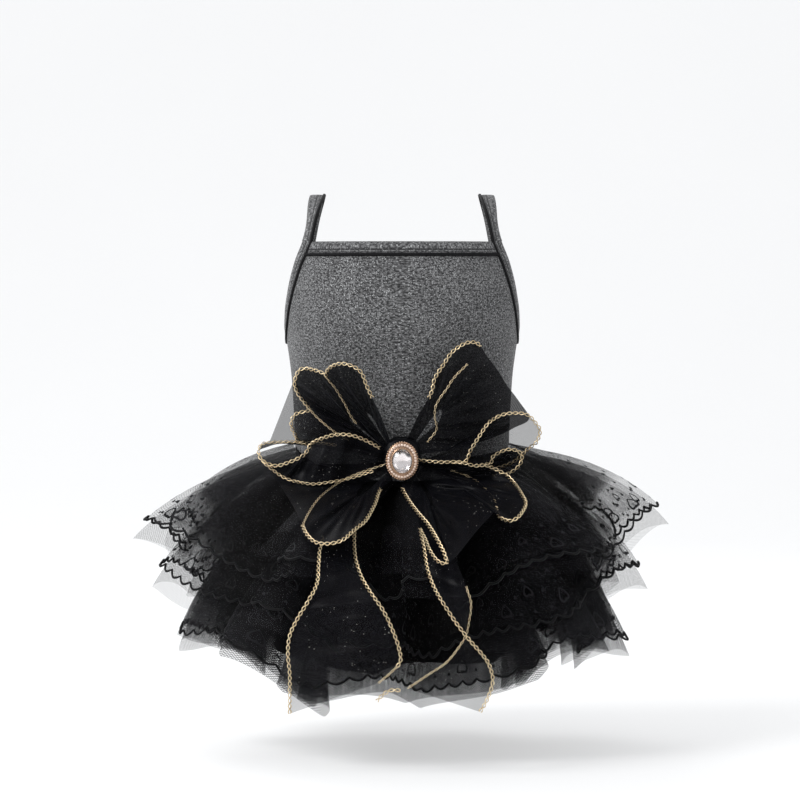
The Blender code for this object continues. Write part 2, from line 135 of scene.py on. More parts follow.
def on_body(angle, down, out=0.0):
    x, y = oval(angle, half_width(down) + out, half_depth(down) + out)
    return np.stack([x, y, -down + 0 * x], axis=-1)


def angle_on_body(points):
    """The angle at which each point lies on the body's oval."""
    wide, deep = half_width(-points[..., 2]), half_depth(-points[..., 2])
    s = np.sign(points[..., 0]) * (np.abs(points[..., 0]) / wide) ** (SQUARENESS / 2)
    c = -np.sign(points[..., 1]) * (np.abs(points[..., 1]) / deep) ** (SQUARENESS / 2)
    return np.arctan2(s, c)


def waist_level(angle):
    """How far down the waist seam lies; it dips at the front."""
    return WAIST + WAIST_DIP * np.maximum(0.0, np.cos(angle)) ** 1.5


print(
    "half the waist:", round(float(half_width(WAIST)) * 1000, 1), "by",
    round(float(half_depth(WAIST)) * 1000, 1), "mm"
)

# %% [markdown]
# ## One way to make every piece of cloth
# A piece of cloth is a flat grid of small squares before anything happens to it. So each one starts from
# Blender's own grid operator, and then every point of the grid is moved to its place on the body. The flat
# position is kept as a UV map, because the weave, the dots and the stitches belong to the flat cloth and
# have to bend with it.

# %% Cloth from a moved grid
pieces = bpy.data.collections.new("dress")
bpy.context.scene.collection.children.link(pieces)


def show(name, mesh, material, slot, *nodes):
    made = bpy.data.objects.new(name, mesh)
    pieces.objects.link(made)
    mesh.materials.clear()
    mesh.materials.append(material)
    mesh.shade_smooth()
    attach(made, "root")
    if nodes:
        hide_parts(*nodes)
    return made


def finished(form, name):
    """Turn an edited form into a mesh."""
    mesh = bpy.data.meshes.new(name)
    form.to_mesh(mesh)
    form.free()
    return mesh


def cloth_mesh(name, along, across, place, ring=False, flat=(1.0, 1.0), tube=False):
    """A grid moved to place(u, v); u and v are arrays from 0 to 1, and flat scales them for the UV map."""
    grid = bmesh.new()
    bmesh.ops.create_grid(grid, x_segments=along, y_segments=across, size=0.5)
    uv = np.array([(v.co.x + 0.5, v.co.y + 0.5) for v in grid.verts])
    uv[:, 0] = np.round(uv[:, 0] * along) / along
    uv[:, 1] = np.round(uv[:, 1] * across) / across
    layer = grid.loops.layers.uv.new("flat")
    grid.verts.index_update()
    for face in grid.faces:
        for corner in face.loops:
            u, v = uv[corner.vert.index]
            corner[layer].uv = (u * flat[0], v * flat[1])
    u = np.where(ring & (uv[:, 0] == 1.0), 0.0, uv[:, 0])
    v = np.where(tube & (uv[:, 1] == 1.0), 0.0, uv[:, 1])
    for vert, point in zip(grid.verts, place(u, v)):
        vert.co = point
    if ring or tube:
        bmesh.ops.remove_doubles(grid, verts=grid.verts, dist=1e-6)
    bmesh.ops.recalc_face_normals(grid, faces=grid.faces)
    return finished(grid, name)


def thicken(obj, wall):
    """Give a sheet the thickness of its cloth."""
    thick = obj.modifiers.new("thickness", "SOLIDIFY")
    thick.thickness = wall
    thick.offset = 0.0
    return obj


def area_of(obj):
    """The cloth's area as it hangs, in square metres."""
    return sum(face.area for face in obj.data.polygons)


def cords_mesh(name, paths, radius, sides=6, closed=False):
    """One mesh of round cords that follow the given rows of points."""
    curve = bpy.data.curves.new(name, "CURVE")
    curve.dimensions = "3D"
    curve.bevel_depth = radius
    curve.bevel_resolution = max(0, sides // 2 - 2)
    curve.use_fill_caps = not closed
    for path in paths:
        line = curve.splines.new("POLY")
        line.points.add(len(path) - 1)
        line.points.foreach_set("co", np.hstack([path, np.ones((len(path), 1))]).ravel())
        line.use_cyclic_u = closed
    holder = bpy.data.objects.new(name + "_line", curve)
    pieces.objects.link(holder)
    mesh = bpy.data.meshes.new_from_object(holder)
    mesh.name = name
    bpy.data.objects.remove(holder)
    bpy.data.curves.remove(curve)
    return mesh

# %% [markdown]
# ## Finishes
# Real cloth is threads with gaps between them. On the net those gaps are large enough to see through, so
# its finish works out where the threads run and makes everything between them clear. A small group of nodes
# does that once, for the plain net and for the lace. The knit and its bindings share another group: dark
# and light fibres spun together, with short silver flecks.

# %% Helpers for finishes
def add(tree, kind, settings=(), **values):
    """Add a node; values name its inputs, with underscores for spaces, or give their number as in_0."""
    made = tree.nodes.new(kind)
    for key, value in dict(settings).items():
        setattr(made, key, value)
    for key, value in values.items():
        socket = made.inputs[int(key[3:])] if key.startswith("in_") else made.inputs[key.replace("_", " ")]
        if isinstance(value, bpy.types.NodeSocket):
            tree.links.new(value, socket)
        else:
            socket.default_value = value
    return made


def sums(tree, how, *values, clamp=False):
    """One step of arithmetic on numbers or sockets."""
    made = add(
        tree, "ShaderNodeMath", {"operation": how, "use_clamp": clamp},
        **{f"in_{k}": v for k, v in enumerate(values)}
    )
    return made.outputs[0]


def ramp(tree, value, low, high, to_low=0.0, to_high=1.0):
    """A soft step: value from low to high becomes to_low to to_high."""
    made = add(
        tree, "ShaderNodeMapRange", {"interpolation_type": "SMOOTHSTEP"},
        Value=value, From_Min=low, From_Max=high, To_Min=to_low, To_Max=to_high,
    )
    return made.outputs[0]


def blend_colours(tree, share, first, second):
    made = tree.nodes.new("ShaderNodeMix")
    made.data_type = "RGBA"
    for socket, value in ((made.inputs[0], share), (made.inputs[6], first), (made.inputs[7], second)):
        if isinstance(value, bpy.types.NodeSocket):
            tree.links.new(value, socket)
        else:
            socket.default_value = value
    return made.outputs[2]


def noise(tree, scale, place=None, **more):
    """Cloudy noise, read at the given place or else at the place on the object."""
    if place is None:
        place = add(tree, "ShaderNodeTexCoord").outputs["Object"]
    return add(tree, "ShaderNodeTexNoise", Vector=place, Scale=scale, **more).outputs[0]


def bump(tree, height, strength, distance):
    return add(tree, "ShaderNodeBump", Strength=strength, Distance=distance, Height=height).outputs[0]


def link(tree, shader, **sockets):
    """Join sockets to the inputs of the shader that they are named after."""
    for key, socket in sockets.items():
        tree.links.new(socket, shader.inputs[key.replace("_", " ")])


def new_finish(name, **values):
    """A material, its node tree and its shader, with the shader's own sockets set."""
    material = bpy.data.materials.new(name)
    material.use_nodes = True
    tree = material.node_tree
    shader = tree.nodes["Principled BSDF"]
    for key, value in values.items():
        shader.inputs[key.replace("_", " ")].default_value = value
    return material, tree, shader


def new_group(name, inputs, outputs):
    tree = bpy.data.node_groups.new(name, "ShaderNodeTree")
    for label, kind in inputs:
        tree.interface.new_socket(label, in_out="INPUT", socket_type=kind)
    for label, kind in outputs:
        tree.interface.new_socket(label, in_out="OUTPUT", socket_type=kind)
    return tree, tree.nodes.new("NodeGroupInput"), tree.nodes.new("NodeGroupOutput")


def use_group(tree, group, **values):
    return add(tree, "ShaderNodeGroup", {"node_tree": group}, **values)


def flat_map(tree):
    return add(tree, "ShaderNodeUVMap", {"uv_map": "flat"}).outputs[0]


# %% Group: threads of a net
net_group, given, out = new_group(
    "net threads",
    [("Vector", "NodeSocketVector"), ("Cell", "NodeSocketFloat"), ("Thread", "NodeSocketFloat")],
    [("Threads", "NodeSocketFloat")],
)
split = add(net_group, "ShaderNodeSeparateXYZ", Vector=given.outputs["Vector"])
x, y = split.outputs[0], split.outputs[1]
one_way = sums(
    net_group, "PINGPONG", sums(net_group, "DIVIDE", sums(net_group, "ADD", x, y), given.outputs["Cell"]), 0.5
)
other_way = sums(
    net_group, "PINGPONG",
    sums(net_group, "DIVIDE", sums(net_group, "SUBTRACT", x, y), given.outputs["Cell"]), 0.5
)
nearest = sums(net_group, "MINIMUM", one_way, other_way)
soft_edge = sums(net_group, "MULTIPLY", given.outputs["Thread"], 1.8)
threads = add(
    net_group, "ShaderNodeMapRange", Value=nearest, From_Min=given.outputs["Thread"], From_Max=soft_edge,
    To_Min=1.0, To_Max=0.0
)
net_group.links.new(threads.outputs[0], out.inputs["Threads"])
print("group:", net_group.name)

# %% Group: melange yarn with silver flecks
melange_group, given, out = new_group(
    "melange yarn",
    [
        ("Vector", "NodeSocketVector"), ("Dark", "NodeSocketColor"), ("Light", "NodeSocketColor"),
        ("Flecks", "NodeSocketFloat")
    ],
    [("Colour", "NodeSocketColor"), ("Height", "NodeSocketFloat"), ("Fleck", "NodeSocketFloat")],
)
place = given.outputs["Vector"]
fibre_place = add(melange_group, "ShaderNodeMapping", Vector=place, Scale=(1.0, 1.15, 1.0)).outputs[0]
fibres = noise(melange_group, 850.0, fibre_place, Detail=3.0, Roughness=0.75)
patches = noise(melange_group, 55.0, place, Detail=2.0)
split = add(melange_group, "ShaderNodeSeparateXYZ", Vector=place)
course = sums(melange_group, "PINGPONG", sums(melange_group, "DIVIDE", split.outputs[1], 0.0011), 0.5)
course = sums(melange_group, "MULTIPLY", course, 2.0)
uneven = sums(melange_group, "MULTIPLY", ramp(melange_group, patches, 0.3, 0.7), 0.55)
course_share = sums(melange_group, "MULTIPLY", course, uneven)
share = sums(
    melange_group, "ADD", ramp(melange_group, fibres, 0.42, 0.60),
    sums(melange_group, "MULTIPLY", course_share, 0.2), clamp=True
)
share = sums(melange_group, "MULTIPLY", share, ramp(melange_group, patches, 0.2, 0.8, 0.72, 1.0))
bent = add(melange_group, "ShaderNodeTexNoise", Vector=place, Scale=650.0).outputs[1]
bent_place = add(
    melange_group, "ShaderNodeVectorMath", {"operation": "MULTIPLY_ADD"}, in_0=bent,
    in_1=(0.0016, 0.0022, 0.0), in_2=place
).outputs[0]
cells = add(
    melange_group, "ShaderNodeTexVoronoi", {"voronoi_dimensions": "2D"}, Vector=bent_place, Scale=1250.0
)
lot = add(melange_group, "ShaderNodeSeparateColor", Color=cells.outputs["Color"]).outputs[0]
dot = ramp(melange_group, cells.outputs["Distance"], 0.18, 0.38, 1.0, 0.0)
picked = sums(melange_group, "GREATER_THAN", given.outputs["Flecks"], lot)
fleck = sums(melange_group, "MULTIPLY", dot, picked)
yarn = blend_colours(melange_group, share, given.outputs["Dark"], given.outputs["Light"])
colour = blend_colours(melange_group, fleck, yarn, (0.34, 0.345, 0.35, 1))
height = sums(
    melange_group, "ADD", sums(melange_group, "MULTIPLY", share, 0.6),
    sums(melange_group, "MULTIPLY", course, 0.4)
)
melange_group.links.new(colour, out.inputs["Colour"])
melange_group.links.new(height, out.inputs["Height"])
melange_group.links.new(fleck, out.inputs["Fleck"])
print("group:", melange_group.name)

# %% [markdown]
# The knit is grey from afar, and a storm of light and dark dots from close by. The bindings are the same
# knit folded into a narrow strip and held by a twin row of black stitches. Those rows follow the strip, so
# they are read from its flat map: along it in metres, and once round its rounded section from 0 to 1.

# %% Finish: grey knit
knit, tree, shader = new_finish("grey_knit", Roughness=0.8, Sheen_Weight=0.15, Sheen_Roughness=0.5)
yarn = use_group(
    tree, melange_group, Vector=flat_map(tree), Dark=(0.006, 0.006, 0.007, 1), Light=(0.18, 0.181, 0.184, 1),
    Flecks=0.36
)
link(tree, shader, Base_Color=yarn.outputs["Colour"])
link(tree, shader, Metallic=sums(tree, "MULTIPLY", yarn.outputs["Fleck"], 0.5))
link(tree, shader, Roughness=ramp(tree, yarn.outputs["Fleck"], 0.0, 1.0, 0.85, 0.4))
link(tree, shader, Normal=bump(tree, yarn.outputs["Height"], 0.6, 0.0004))

# %% Finish: folded binding with its twin stitches
binding, tree, shader = new_finish("grey_binding", Roughness=0.8, Sheen_Weight=0.15, Sheen_Roughness=0.5)
flat = flat_map(tree)
split = add(tree, "ShaderNodeSeparateXYZ", Vector=flat)
metres = add(tree, "ShaderNodeMapping", Vector=flat, Scale=(1.0, 0.018, 1.0)).outputs[0]
yarn = use_group(
    tree, melange_group, Vector=metres, Dark=(0.020, 0.020, 0.022, 1), Light=(0.205, 0.205, 0.21, 1),
    Flecks=0.32
)
dash = sums(tree, "PINGPONG", sums(tree, "DIVIDE", split.outputs[0], 0.0024), 0.5)
dash = ramp(tree, dash, 0.05, 0.16)
rows = None
for row in (0.165, 0.222):
    away = sums(tree, "ABSOLUTE", sums(tree, "SUBTRACT", split.outputs[1], row))
    line = ramp(tree, away, 0.008, 0.018, 1.0, 0.0)
    rows = line if rows is None else sums(tree, "MAXIMUM", rows, line)
stitch = sums(tree, "MULTIPLY", rows, ramp(tree, dash, 0.0, 1.0, 0.45, 1.0))
colour = blend_colours(tree, stitch, yarn.outputs["Colour"], (0.006, 0.006, 0.007, 1))
link(tree, shader, Base_Color=colour)
height = sums(tree, "SUBTRACT", yarn.outputs["Height"], sums(tree, "MULTIPLY", rows, 1.4))
link(tree, shader, Normal=bump(tree, height, 0.8, 0.0005))
print("finishes:", knit.name, "and", binding.name)

# %% Finish: black seam thread and plain lining
seam_thread, tree, shader = new_finish("black_seam_thread", Roughness=0.6, Specular_IOR_Level=0.12)
twist = noise(tree, 1600.0)
link(tree, shader, Base_Color=blend_colours(tree, twist, (0.002, 0.002, 0.0025, 1), (0.009, 0.009, 0.010, 1)))
link(tree, shader, Normal=bump(tree, twist, 0.7, 0.0003))

lining, tree, shader = new_finish("black_lining", Roughness=0.8, Specular_IOR_Level=0.05)
weave = noise(tree, 1500.0, flat_map(tree), Detail=2.0)
colour = blend_colours(tree, weave, (0.0008, 0.0008, 0.001, 1), (0.003, 0.003, 0.0033, 1))
link(tree, shader, Base_Color=colour)
link(tree, shader, Normal=bump(tree, weave, 0.2, 0.0001))
print("finishes:", seam_thread.name, "and", lining.name)

# %% [markdown]
# Net is gathered into the waist: five lengths of it or more are pushed into one, so near the seam many
# layers lie on each other and nothing shows through, while at the hem there is a single clear layer.
# Modelling each little pleat would take millions of faces. Instead each point of the net carries a number,
# its fullness: how many layers lie there. The clear share of one layer, raised to that number, is the clear
# share of them all.

# %% Finish: net, plain and with lace
def through_layers(tree, cover, fullness):
    """Cover of several layers from the cover of one."""
    clear = sums(tree, "POWER", sums(tree, "SUBTRACT", 1.0, cover, clamp=True), fullness)
    return sums(tree, "SUBTRACT", 1.0, clear, clamp=True)


def fullness_of(tree):
    return add(tree, "ShaderNodeAttribute", {"attribute_name": "fullness"}).outputs["Fac"]


def painted_fold_shade(tree, furrow, crest):
    """Painted light and shade: the crests of the folds are coloured lighter, as if they catch light, and the
    furrows darker, as if in shade.
    """
    fold = add(tree, "ShaderNodeAttribute", {"attribute_name": "fold"}).outputs["Fac"]
    return blend_colours(
        tree, ramp(tree, fold, -0.7, 1.0), (*[furrow] * 3, 1), (crest, crest, crest * 1.15, 1)
    )


tulle, tree, shader = new_finish("black_tulle", Roughness=0.55, Specular_IOR_Level=0.08)
# Painted shade: the net is coloured darker in the furrows of its folds and lighter on the crests.
link(tree, shader, Base_Color=painted_fold_shade(tree, 0.0006, 0.015))
threads = use_group(tree, net_group, Vector=flat_map(tree), Cell=0.00125, Thread=0.085).outputs[0]
cover = sums(tree, "ADD", sums(tree, "MULTIPLY", threads, 0.34), 0.05)
link(tree, shader, Alpha=through_layers(tree, cover, fullness_of(tree)))

lace, tree, shader = new_finish("black_lace", Roughness=0.6, Specular_IOR_Level=0.08)
# Painted shade: the lace is coloured darker in the furrows of its folds and lighter on the crests.
link(tree, shader, Base_Color=painted_fold_shade(tree, 0.0006, 0.011))
flat = flat_map(tree)
PITCH = 0.0082
metres = add(tree, "ShaderNodeMapping", Vector=flat, Scale=(PITCH, PITCH, 1.0)).outputs[0]
threads = use_group(tree, net_group, Vector=metres, Cell=0.00125, Thread=0.085).outputs[0]
split = add(tree, "ShaderNodeSeparateXYZ", Vector=flat)
along, above = split.outputs[0], split.outputs[1]


def dots_row(every, shift, height, size):
    """A row of round dots, one to so many scallops, at a height above the edge."""
    turned = sums(tree, "DIVIDE", sums(tree, "ADD", along, shift), every)
    side = sums(tree, "MULTIPLY", sums(tree, "SUBTRACT", sums(tree, "FRACT", turned), 0.5), every)
    up = sums(tree, "SUBTRACT", above, height)
    away = sums(
        tree, "SQRT", sums(tree, "ADD", sums(tree, "MULTIPLY", side, side), sums(tree, "MULTIPLY", up, up))
    )
    return away, ramp(tree, away, size, size + 0.035, 1.0, 0.0)


DOT = 0.12
DOT_ROWS = (
    (1.0, 0.5, 0.62, 0.085), (2.0, 0.0, 1.75, DOT), (2.0, 1.0, 2.75, DOT), (2.0, 0.0, 3.8, DOT),
    (2.0, 1.0, 4.9, DOT), (2.0, 0.5, 6.1, DOT), (2.0, 1.5, 7.3, DOT),
)
RING_ROWS = ((4.0, 0.0, 1.05, 0.36), (4.0, 2.0, 2.0, 0.28))
marks = [dots_row(*row)[1] for row in DOT_ROWS]
for every, shift, height, size in RING_ROWS:
    away = dots_row(every, shift, height, size)[0]
    off_line = sums(tree, "ABSOLUTE", sums(tree, "SUBTRACT", away, size))
    marks.append(ramp(tree, off_line, 0.05, 0.09, 1.0, 0.0))
any_mark = marks[0]
for mark in marks[1:]:
    any_mark = sums(tree, "MAXIMUM", any_mark, mark)
cover = sums(tree, "ADD", sums(tree, "MULTIPLY", threads, 0.36), 0.06)
cover = through_layers(tree, cover, fullness_of(tree))
link(tree, shader, Alpha=sums(tree, "MAXIMUM", cover, any_mark))
print("finishes:", tulle.name, "and", lace.name)

# %% [markdown]
# Organza is woven from such thin, stiff threads that it is half clear, and this one carries loose silver
# glitter. The braid on its edges is two pale gold strands twisted together, so it needs no pattern, only a
# soft metal.

# %% Finish: glittering organza and gold braid
organza, tree, shader = new_finish(
    "black_organza", Roughness=0.42, Specular_IOR_Level=0.07, Sheen_Weight=0.03, Sheen_Roughness=0.3,
    Sheen_Tint=(0.6, 0.65, 0.8, 1)
)
flat = flat_map(tree)
cells = add(tree, "ShaderNodeTexVoronoi", {"voronoi_dimensions": "2D"}, Vector=flat, Scale=1150.0)
lot = add(tree, "ShaderNodeSeparateColor", Color=cells.outputs["Color"]).outputs[1]
spot = ramp(tree, cells.outputs["Distance"], 0.14, 0.26, 1.0, 0.0)
patches = noise(tree, 28.0, flat)
glitter = sums(
    tree, "MULTIPLY", spot, sums(tree, "GREATER_THAN", lot, ramp(tree, patches, 0.42, 0.62, 1.0, 0.965))
)
cloudy = noise(tree, 90.0, flat, Detail=3.0)
dark = blend_colours(tree, cloudy, (0.001, 0.001, 0.0014, 1), (0.005, 0.005, 0.0068, 1))
link(tree, shader, Base_Color=blend_colours(tree, glitter, dark, (0.42, 0.41, 0.38, 1)))
weave = use_group(tree, net_group, Vector=flat, Cell=0.0009, Thread=0.12).outputs[0]
cover = sums(tree, "ADD", sums(tree, "MULTIPLY", weave, 0.22), fullness_of(tree), clamp=True)
link(tree, shader, Alpha=sums(tree, "MAXIMUM", cover, glitter))

gold_braid, tree, shader = new_finish("gold_braid", Metallic=1.0, Roughness=0.34)
worn = noise(tree, 700.0, Detail=2.0)
link(tree, shader, Base_Color=blend_colours(tree, worn, (0.50, 0.36, 0.18, 1), (0.96, 0.82, 0.58, 1)))
link(tree, shader, Roughness=ramp(tree, worn, 0.3, 0.7, 0.25, 0.45))
print("finishes:", organza.name, "and", gold_braid.name)

# %% Finish: brooch metal, pearl and stone
rose_gold, tree, shader = new_finish("rose_gold", Metallic=1.0, Roughness=0.22)
scuffs = noise(tree, 900.0, Detail=3.0)
link(tree, shader, Base_Color=blend_colours(tree, scuffs, (0.27, 0.16, 0.10, 1), (0.66, 0.46, 0.33, 1)))
link(tree, shader, Roughness=ramp(tree, scuffs, 0.3, 0.7, 0.18, 0.34))

pearl, tree, shader = new_finish("pink_pearl", Roughness=0.22, Coat_Weight=0.6, Coat_Roughness=0.08)
lustre = noise(tree, 500.0)
link(tree, shader, Base_Color=blend_colours(tree, lustre, (0.60, 0.42, 0.33, 1), (0.85, 0.70, 0.60, 1)))

stone_glass, tree, shader = new_finish(
    "clear_stone", Roughness=0.0, IOR=1.6, Transmission_Weight=1.0, Base_Color=(0.99, 0.98, 0.98, 1)
)
foil, tree, shader = new_finish("silver_foil", Metallic=1.0, Roughness=0.12)
tint = noise(tree, 260.0)
link(tree, shader, Base_Color=blend_colours(tree, tint, (0.82, 0.76, 0.74, 1), (0.97, 0.96, 0.97, 1)))
print("finishes:", rose_gold.name, pearl.name, stone_glass.name, foil.name)

# %% [markdown]
# ## Straps and armhole bindings
# One narrow strip runs all the way round each armhole and becomes the shoulder strap at the top. Its middle
# line was measured as a row of places round the armhole; below the neckline it lies on the body. The strip
# has a rounded section, because it is folded cloth, so it is a grid that closes in both directions.

# %% The line of an armhole
ARMHOLE_LINE = np.array([
    (0.00, 0.00), (0.06, 0.34), (0.17, 0.53), (0.31, 0.61), (0.49, 0.545),
    (0.66, 0.45), (0.80, 0.36), (0.93, 0.23), (1.00, 0.00),
])
# Past its top and its bottom the line goes on as its own mirror image, so that it turns there without a
# corner.
OTHER_SIDE = np.array([1.0, -1.0])
ARMHOLE_LINE = np.vstack([ARMHOLE_LINE[1] * OTHER_SIDE, ARMHOLE_LINE, ARMHOLE_LINE[-2] * OTHER_SIDE])
line_steps = np.hypot(np.diff(ARMHOLE_LINE[:, 0]), 0.6 * np.diff(ARMHOLE_LINE[:, 1]))
LINE_LENGTHS = np.concatenate([[0], np.cumsum(line_steps)]) - line_steps[0]


def strap_middle(share, side):
    """Middle line; share 0 is the strap's top, 0.5 the armhole's bottom."""
    share = share % 1.0
    front = share <= 0.5
    at = np.where(front, 2 * share, 2 * (1 - share)) * LINE_LENGTHS[-2]
    down = ARMHOLE * smooth_through(LINE_LENGTHS, ARMHOLE_LINE[:, 0], at)
    forward = smooth_through(LINE_LENGTHS, ARMHOLE_LINE[:, 1], at)
    x = half_width(down) * np.maximum(0.0, 1 - np.abs(forward) ** SQUARENESS) ** (1 / SQUARENESS)
    y = half_depth(down) * forward
    return np.stack([side * x, np.where(front, -y, y), -down], axis=-1)


def unit(vectors):
    return vectors / np.maximum(np.linalg.norm(vectors, axis=-1, keepdims=True), 1e-12)


def strap_frame(share, side):
    """Middle point, width direction towards the bodice, and the direction off the body."""
    point = strap_middle(share, side)
    along = unit(strap_middle(share + 0.004, side) - strap_middle(share - 0.004, side))
    wide, deep = half_width(-point[..., 2]), half_depth(-point[..., 2])
    nx = np.sign(point[..., 0]) * (np.abs(point[..., 0]) / wide) ** (SQUARENESS - 1) / wide
    ny = np.sign(point[..., 1]) * (np.abs(point[..., 1]) / deep) ** (SQUARENESS - 1) / deep
    outward = unit(np.stack([nx, ny, 0 * nx], axis=-1))
    on_top = np.maximum(0.0, 1 + point[..., 2] / NECK)[..., None]
    outward = unit(outward * (1 - on_top) + np.array([0, 0, 1.0]) * on_top)
    width = unit(np.cross(along, outward))
    return point, width if side > 0 else -width, outward


def strap_place(share, side, across, lift):
    """A point beside the strap's middle line, lifted off the body."""
    point, width, outward = strap_frame(share, side)
    moved = point + width * np.asarray(across)[..., None]
    low = -moved[..., 2] > NECK
    flat = on_body(angle_on_body(moved), -moved[..., 2])
    return np.where(low[..., None], flat, moved) + outward * np.asarray(lift)[..., None]


def rounded(turn, wide, thick):
    """Across and lift of a folded strip's section, once round; 0 to 0.5 is its outer face."""
    c, s = np.cos(2 * np.pi * turn), np.sin(2 * np.pi * turn)
    return wide * np.sign(c) * np.abs(c) ** 0.6, thick * np.sign(s) * np.abs(s) ** 0.6


seams = []
for side, which in ((-1, "left"), (1, "right")):
    def place(u, v, side=side):
        across, lift = rounded(v, BINDING / 2 - 0.1 * MM, BINDING_WALL / 2)
        return strap_place(u, side, across, lift)

    mesh = cloth_mesh(f"armhole_binding_{which}", 220, 16, place, ring=True, tube=True, flat=(0.205, 1.0))
    show(f"armhole_binding_{which}", mesh, binding, "grey_binding", f"armhole_strap_{which}")
    shares = np.linspace(0, 1, 180, endpoint=False)
    seams.append(strap_place(shares, side, np.full(180, BINDING / 2 + 0.15 * MM), np.full(180, SEAM_LIFT)))
mesh = cords_mesh("armhole_seams", seams, SEAM_CORD, closed=True)
show("armhole_seams", mesh, seam_thread, "black_lace")

# %% [markdown]
# ## Neck bindings
# Front and back, a straight strip closes the neckline between the two straps. It ends where it meets them,
# and that place is read from the strap's own edge.

# %% Neck bindings
def strap_inner_edge(back):
    """Angles and levels of the strap's edge beside the neck, from the top down."""
    half = np.linspace(0.0, 0.5, 90)
    edge = strap_place(1 - half if back else half, 1, np.full(90, BINDING / 2 + SEAM_GAP), np.zeros(90))
    keep = slice(6, int(np.argmax(-edge[:, 2])))
    return angle_on_body(edge)[keep], -edge[keep, 2]


def neck_reach(level, back):
    """How far the neckline reaches from its middle, as an angle."""
    angles, levels = strap_inner_edge(back)
    end = np.interp(level, levels, angles)
    return np.abs((math.pi if back else 0.0) - end)


neck_seams = []
for back, which in ((False, "front"), (True, "back")):
    def place(u, v, back=back):
        across, lift = rounded(0.5 - v, NECK_BINDING / 2, BINDING_WALL / 2)
        level = NECK + NECK_BINDING / 2 - across
        reach = neck_reach(level, back) - SEAM_GAP / half_width(level)
        angle = (math.pi if back else 0.0) - reach * (1 - 2 * u)
        return on_body(angle, level, lift)

    mesh = cloth_mesh(f"neck_strip_{which}", 90, 16, place, tube=True, flat=(0.094, 1.0))
    show(f"neck_strip_{which}", mesh, binding, "grey_binding", f"neck_binding_{which}")
    level = np.full(60, NECK + NECK_BINDING + 0.1 * MM)
    reach = neck_reach(level, back)
    angle = (math.pi if back else 0.0) - reach * np.linspace(-1, 1, 60)
    neck_seams.append(on_body(angle, level, SEAM_LIFT))
mesh = cords_mesh("neck_seams", neck_seams, SEAM_CORD)
show("neck_seams", mesh, seam_thread, "black_lace")
print("neck strips made")

# %% [markdown]
# ## Bodice
# The knit is cut to the body, so its upper edge follows the neck strips and the armhole strips, and its
# lower edge the waist seam. A closed ring of columns joins the two edges. It is thin, and stretched smooth.

# %% Bodice
def bodice_border(columns=60):
    """Angles and levels of the upper edge once round, starting at the front's left corner."""
    edge = NECK + NECK_BINDING + SEAM_GAP
    share = np.linspace(0, 1, 240)
    line = strap_place(share, 1, np.full(240, BINDING / 2 + SEAM_GAP), np.zeros(240))
    angles, levels = angle_on_body(line), -line[:, 2]
    inside = np.nonzero(levels > edge)[0]
    first, last = inside[0], inside[-1]

    def corner(above, below):
        part = (edge - levels[above]) / (levels[below] - levels[above])
        return angles[above] + part * (angles[below] - angles[above])

    front, back = corner(first - 1, first), corner(last + 1, last)
    right = np.column_stack([np.r_[front, angles[inside], back], np.r_[edge, levels[inside], edge]])
    neck = np.column_stack([np.linspace(-front, front, columns, endpoint=False), np.full(columns, edge)])
    rear = np.column_stack([np.linspace(back, 2 * math.pi - back, columns + 1)[1:], np.full(columns, edge)])
    left = np.column_stack([2 * math.pi - right[::-1, 0], right[::-1, 1]])[1:-1]
    return np.vstack([neck, right, rear, left])


border = bodice_border()
columns = len(border)


def place(u, v):
    angle, top = border[np.round(u * columns).astype(int) % columns].T
    seam = waist_level(angle)
    down = seam + (top - seam) * v
    pucker = 0.25 * MM * np.sin(70 * angle) * np.clip(1 - (seam - down) / (12 * MM), 0, 1) ** 2
    return on_body(angle, down, pucker)


mesh = cloth_mesh("knit_bodice", columns, 44, place, ring=True, flat=(1.0, -0.105))
# The columns crowd beside the armholes, so the flat map goes by angle and height instead of by column.
turns = np.r_[border[:, 0], border[0, 0] + 2 * np.pi] / (2 * np.pi)
for corner, item in zip(mesh.loops, mesh.uv_layers["flat"].data):
    turn = np.interp(item.uv[0] * columns, np.arange(columns + 1), turns)
    item.uv = (0.34 * turn, mesh.vertices[corner.vertex_index].co.z)
bodice = thicken(show("knit_bodice", mesh, knit, "grey_knit", "bodice"), KNIT_WALL)

# %% [markdown]
# ## Skirt
# The skirt is three tiers, each a length of stiff net with a length of lace over it, gathered into one
# seam. Stiff net doesn't hang in waves: it stands out in flat panels that double back on each other, with
# sharp corners at the hem. Pleats of that kind come from two movements at once: the cloth goes out and in
# as it goes round, and it also swings sideways, so that each pleat leans away from the middle of the front.

# %% The shape of a tier
def tier_profile(angle, t):
    """Shares of reach and drop from seam to hem: nearly straight in front, and rounder at the sides."""
    straight = 0.5 + 0.38 * np.maximum(0.0, np.cos(angle)) ** 1.5
    turned, bent = t * np.pi / 2, 1 - straight
    return bent * np.sin(turned) + straight * t, bent * (1 - np.cos(turned)) + straight * t


TIERS = {
    "top": dict(
        start=3, side=74, front=69, drop=57, lift=0.10, fold=16.0, turn=0, layers=1.0, clear_from=0.58
    ),
    "middle": dict(
        start=14, side=64, front=61, drop=80, lift=0.15, fold=15.0, turn=1, layers=1.3, clear_from=0.66
    ),
    "low": dict(
        start=26, side=54, front=47, drop=86, lift=0.02, fold=14.0, turn=2, layers=2.3, clear_from=0.97
    ),
}


# Small crinkles beside the seam, and how far the hem's corners hang below the rest.
CRINKLE, CORNER_DROP = 0.35 * MM, 5.0 * MM


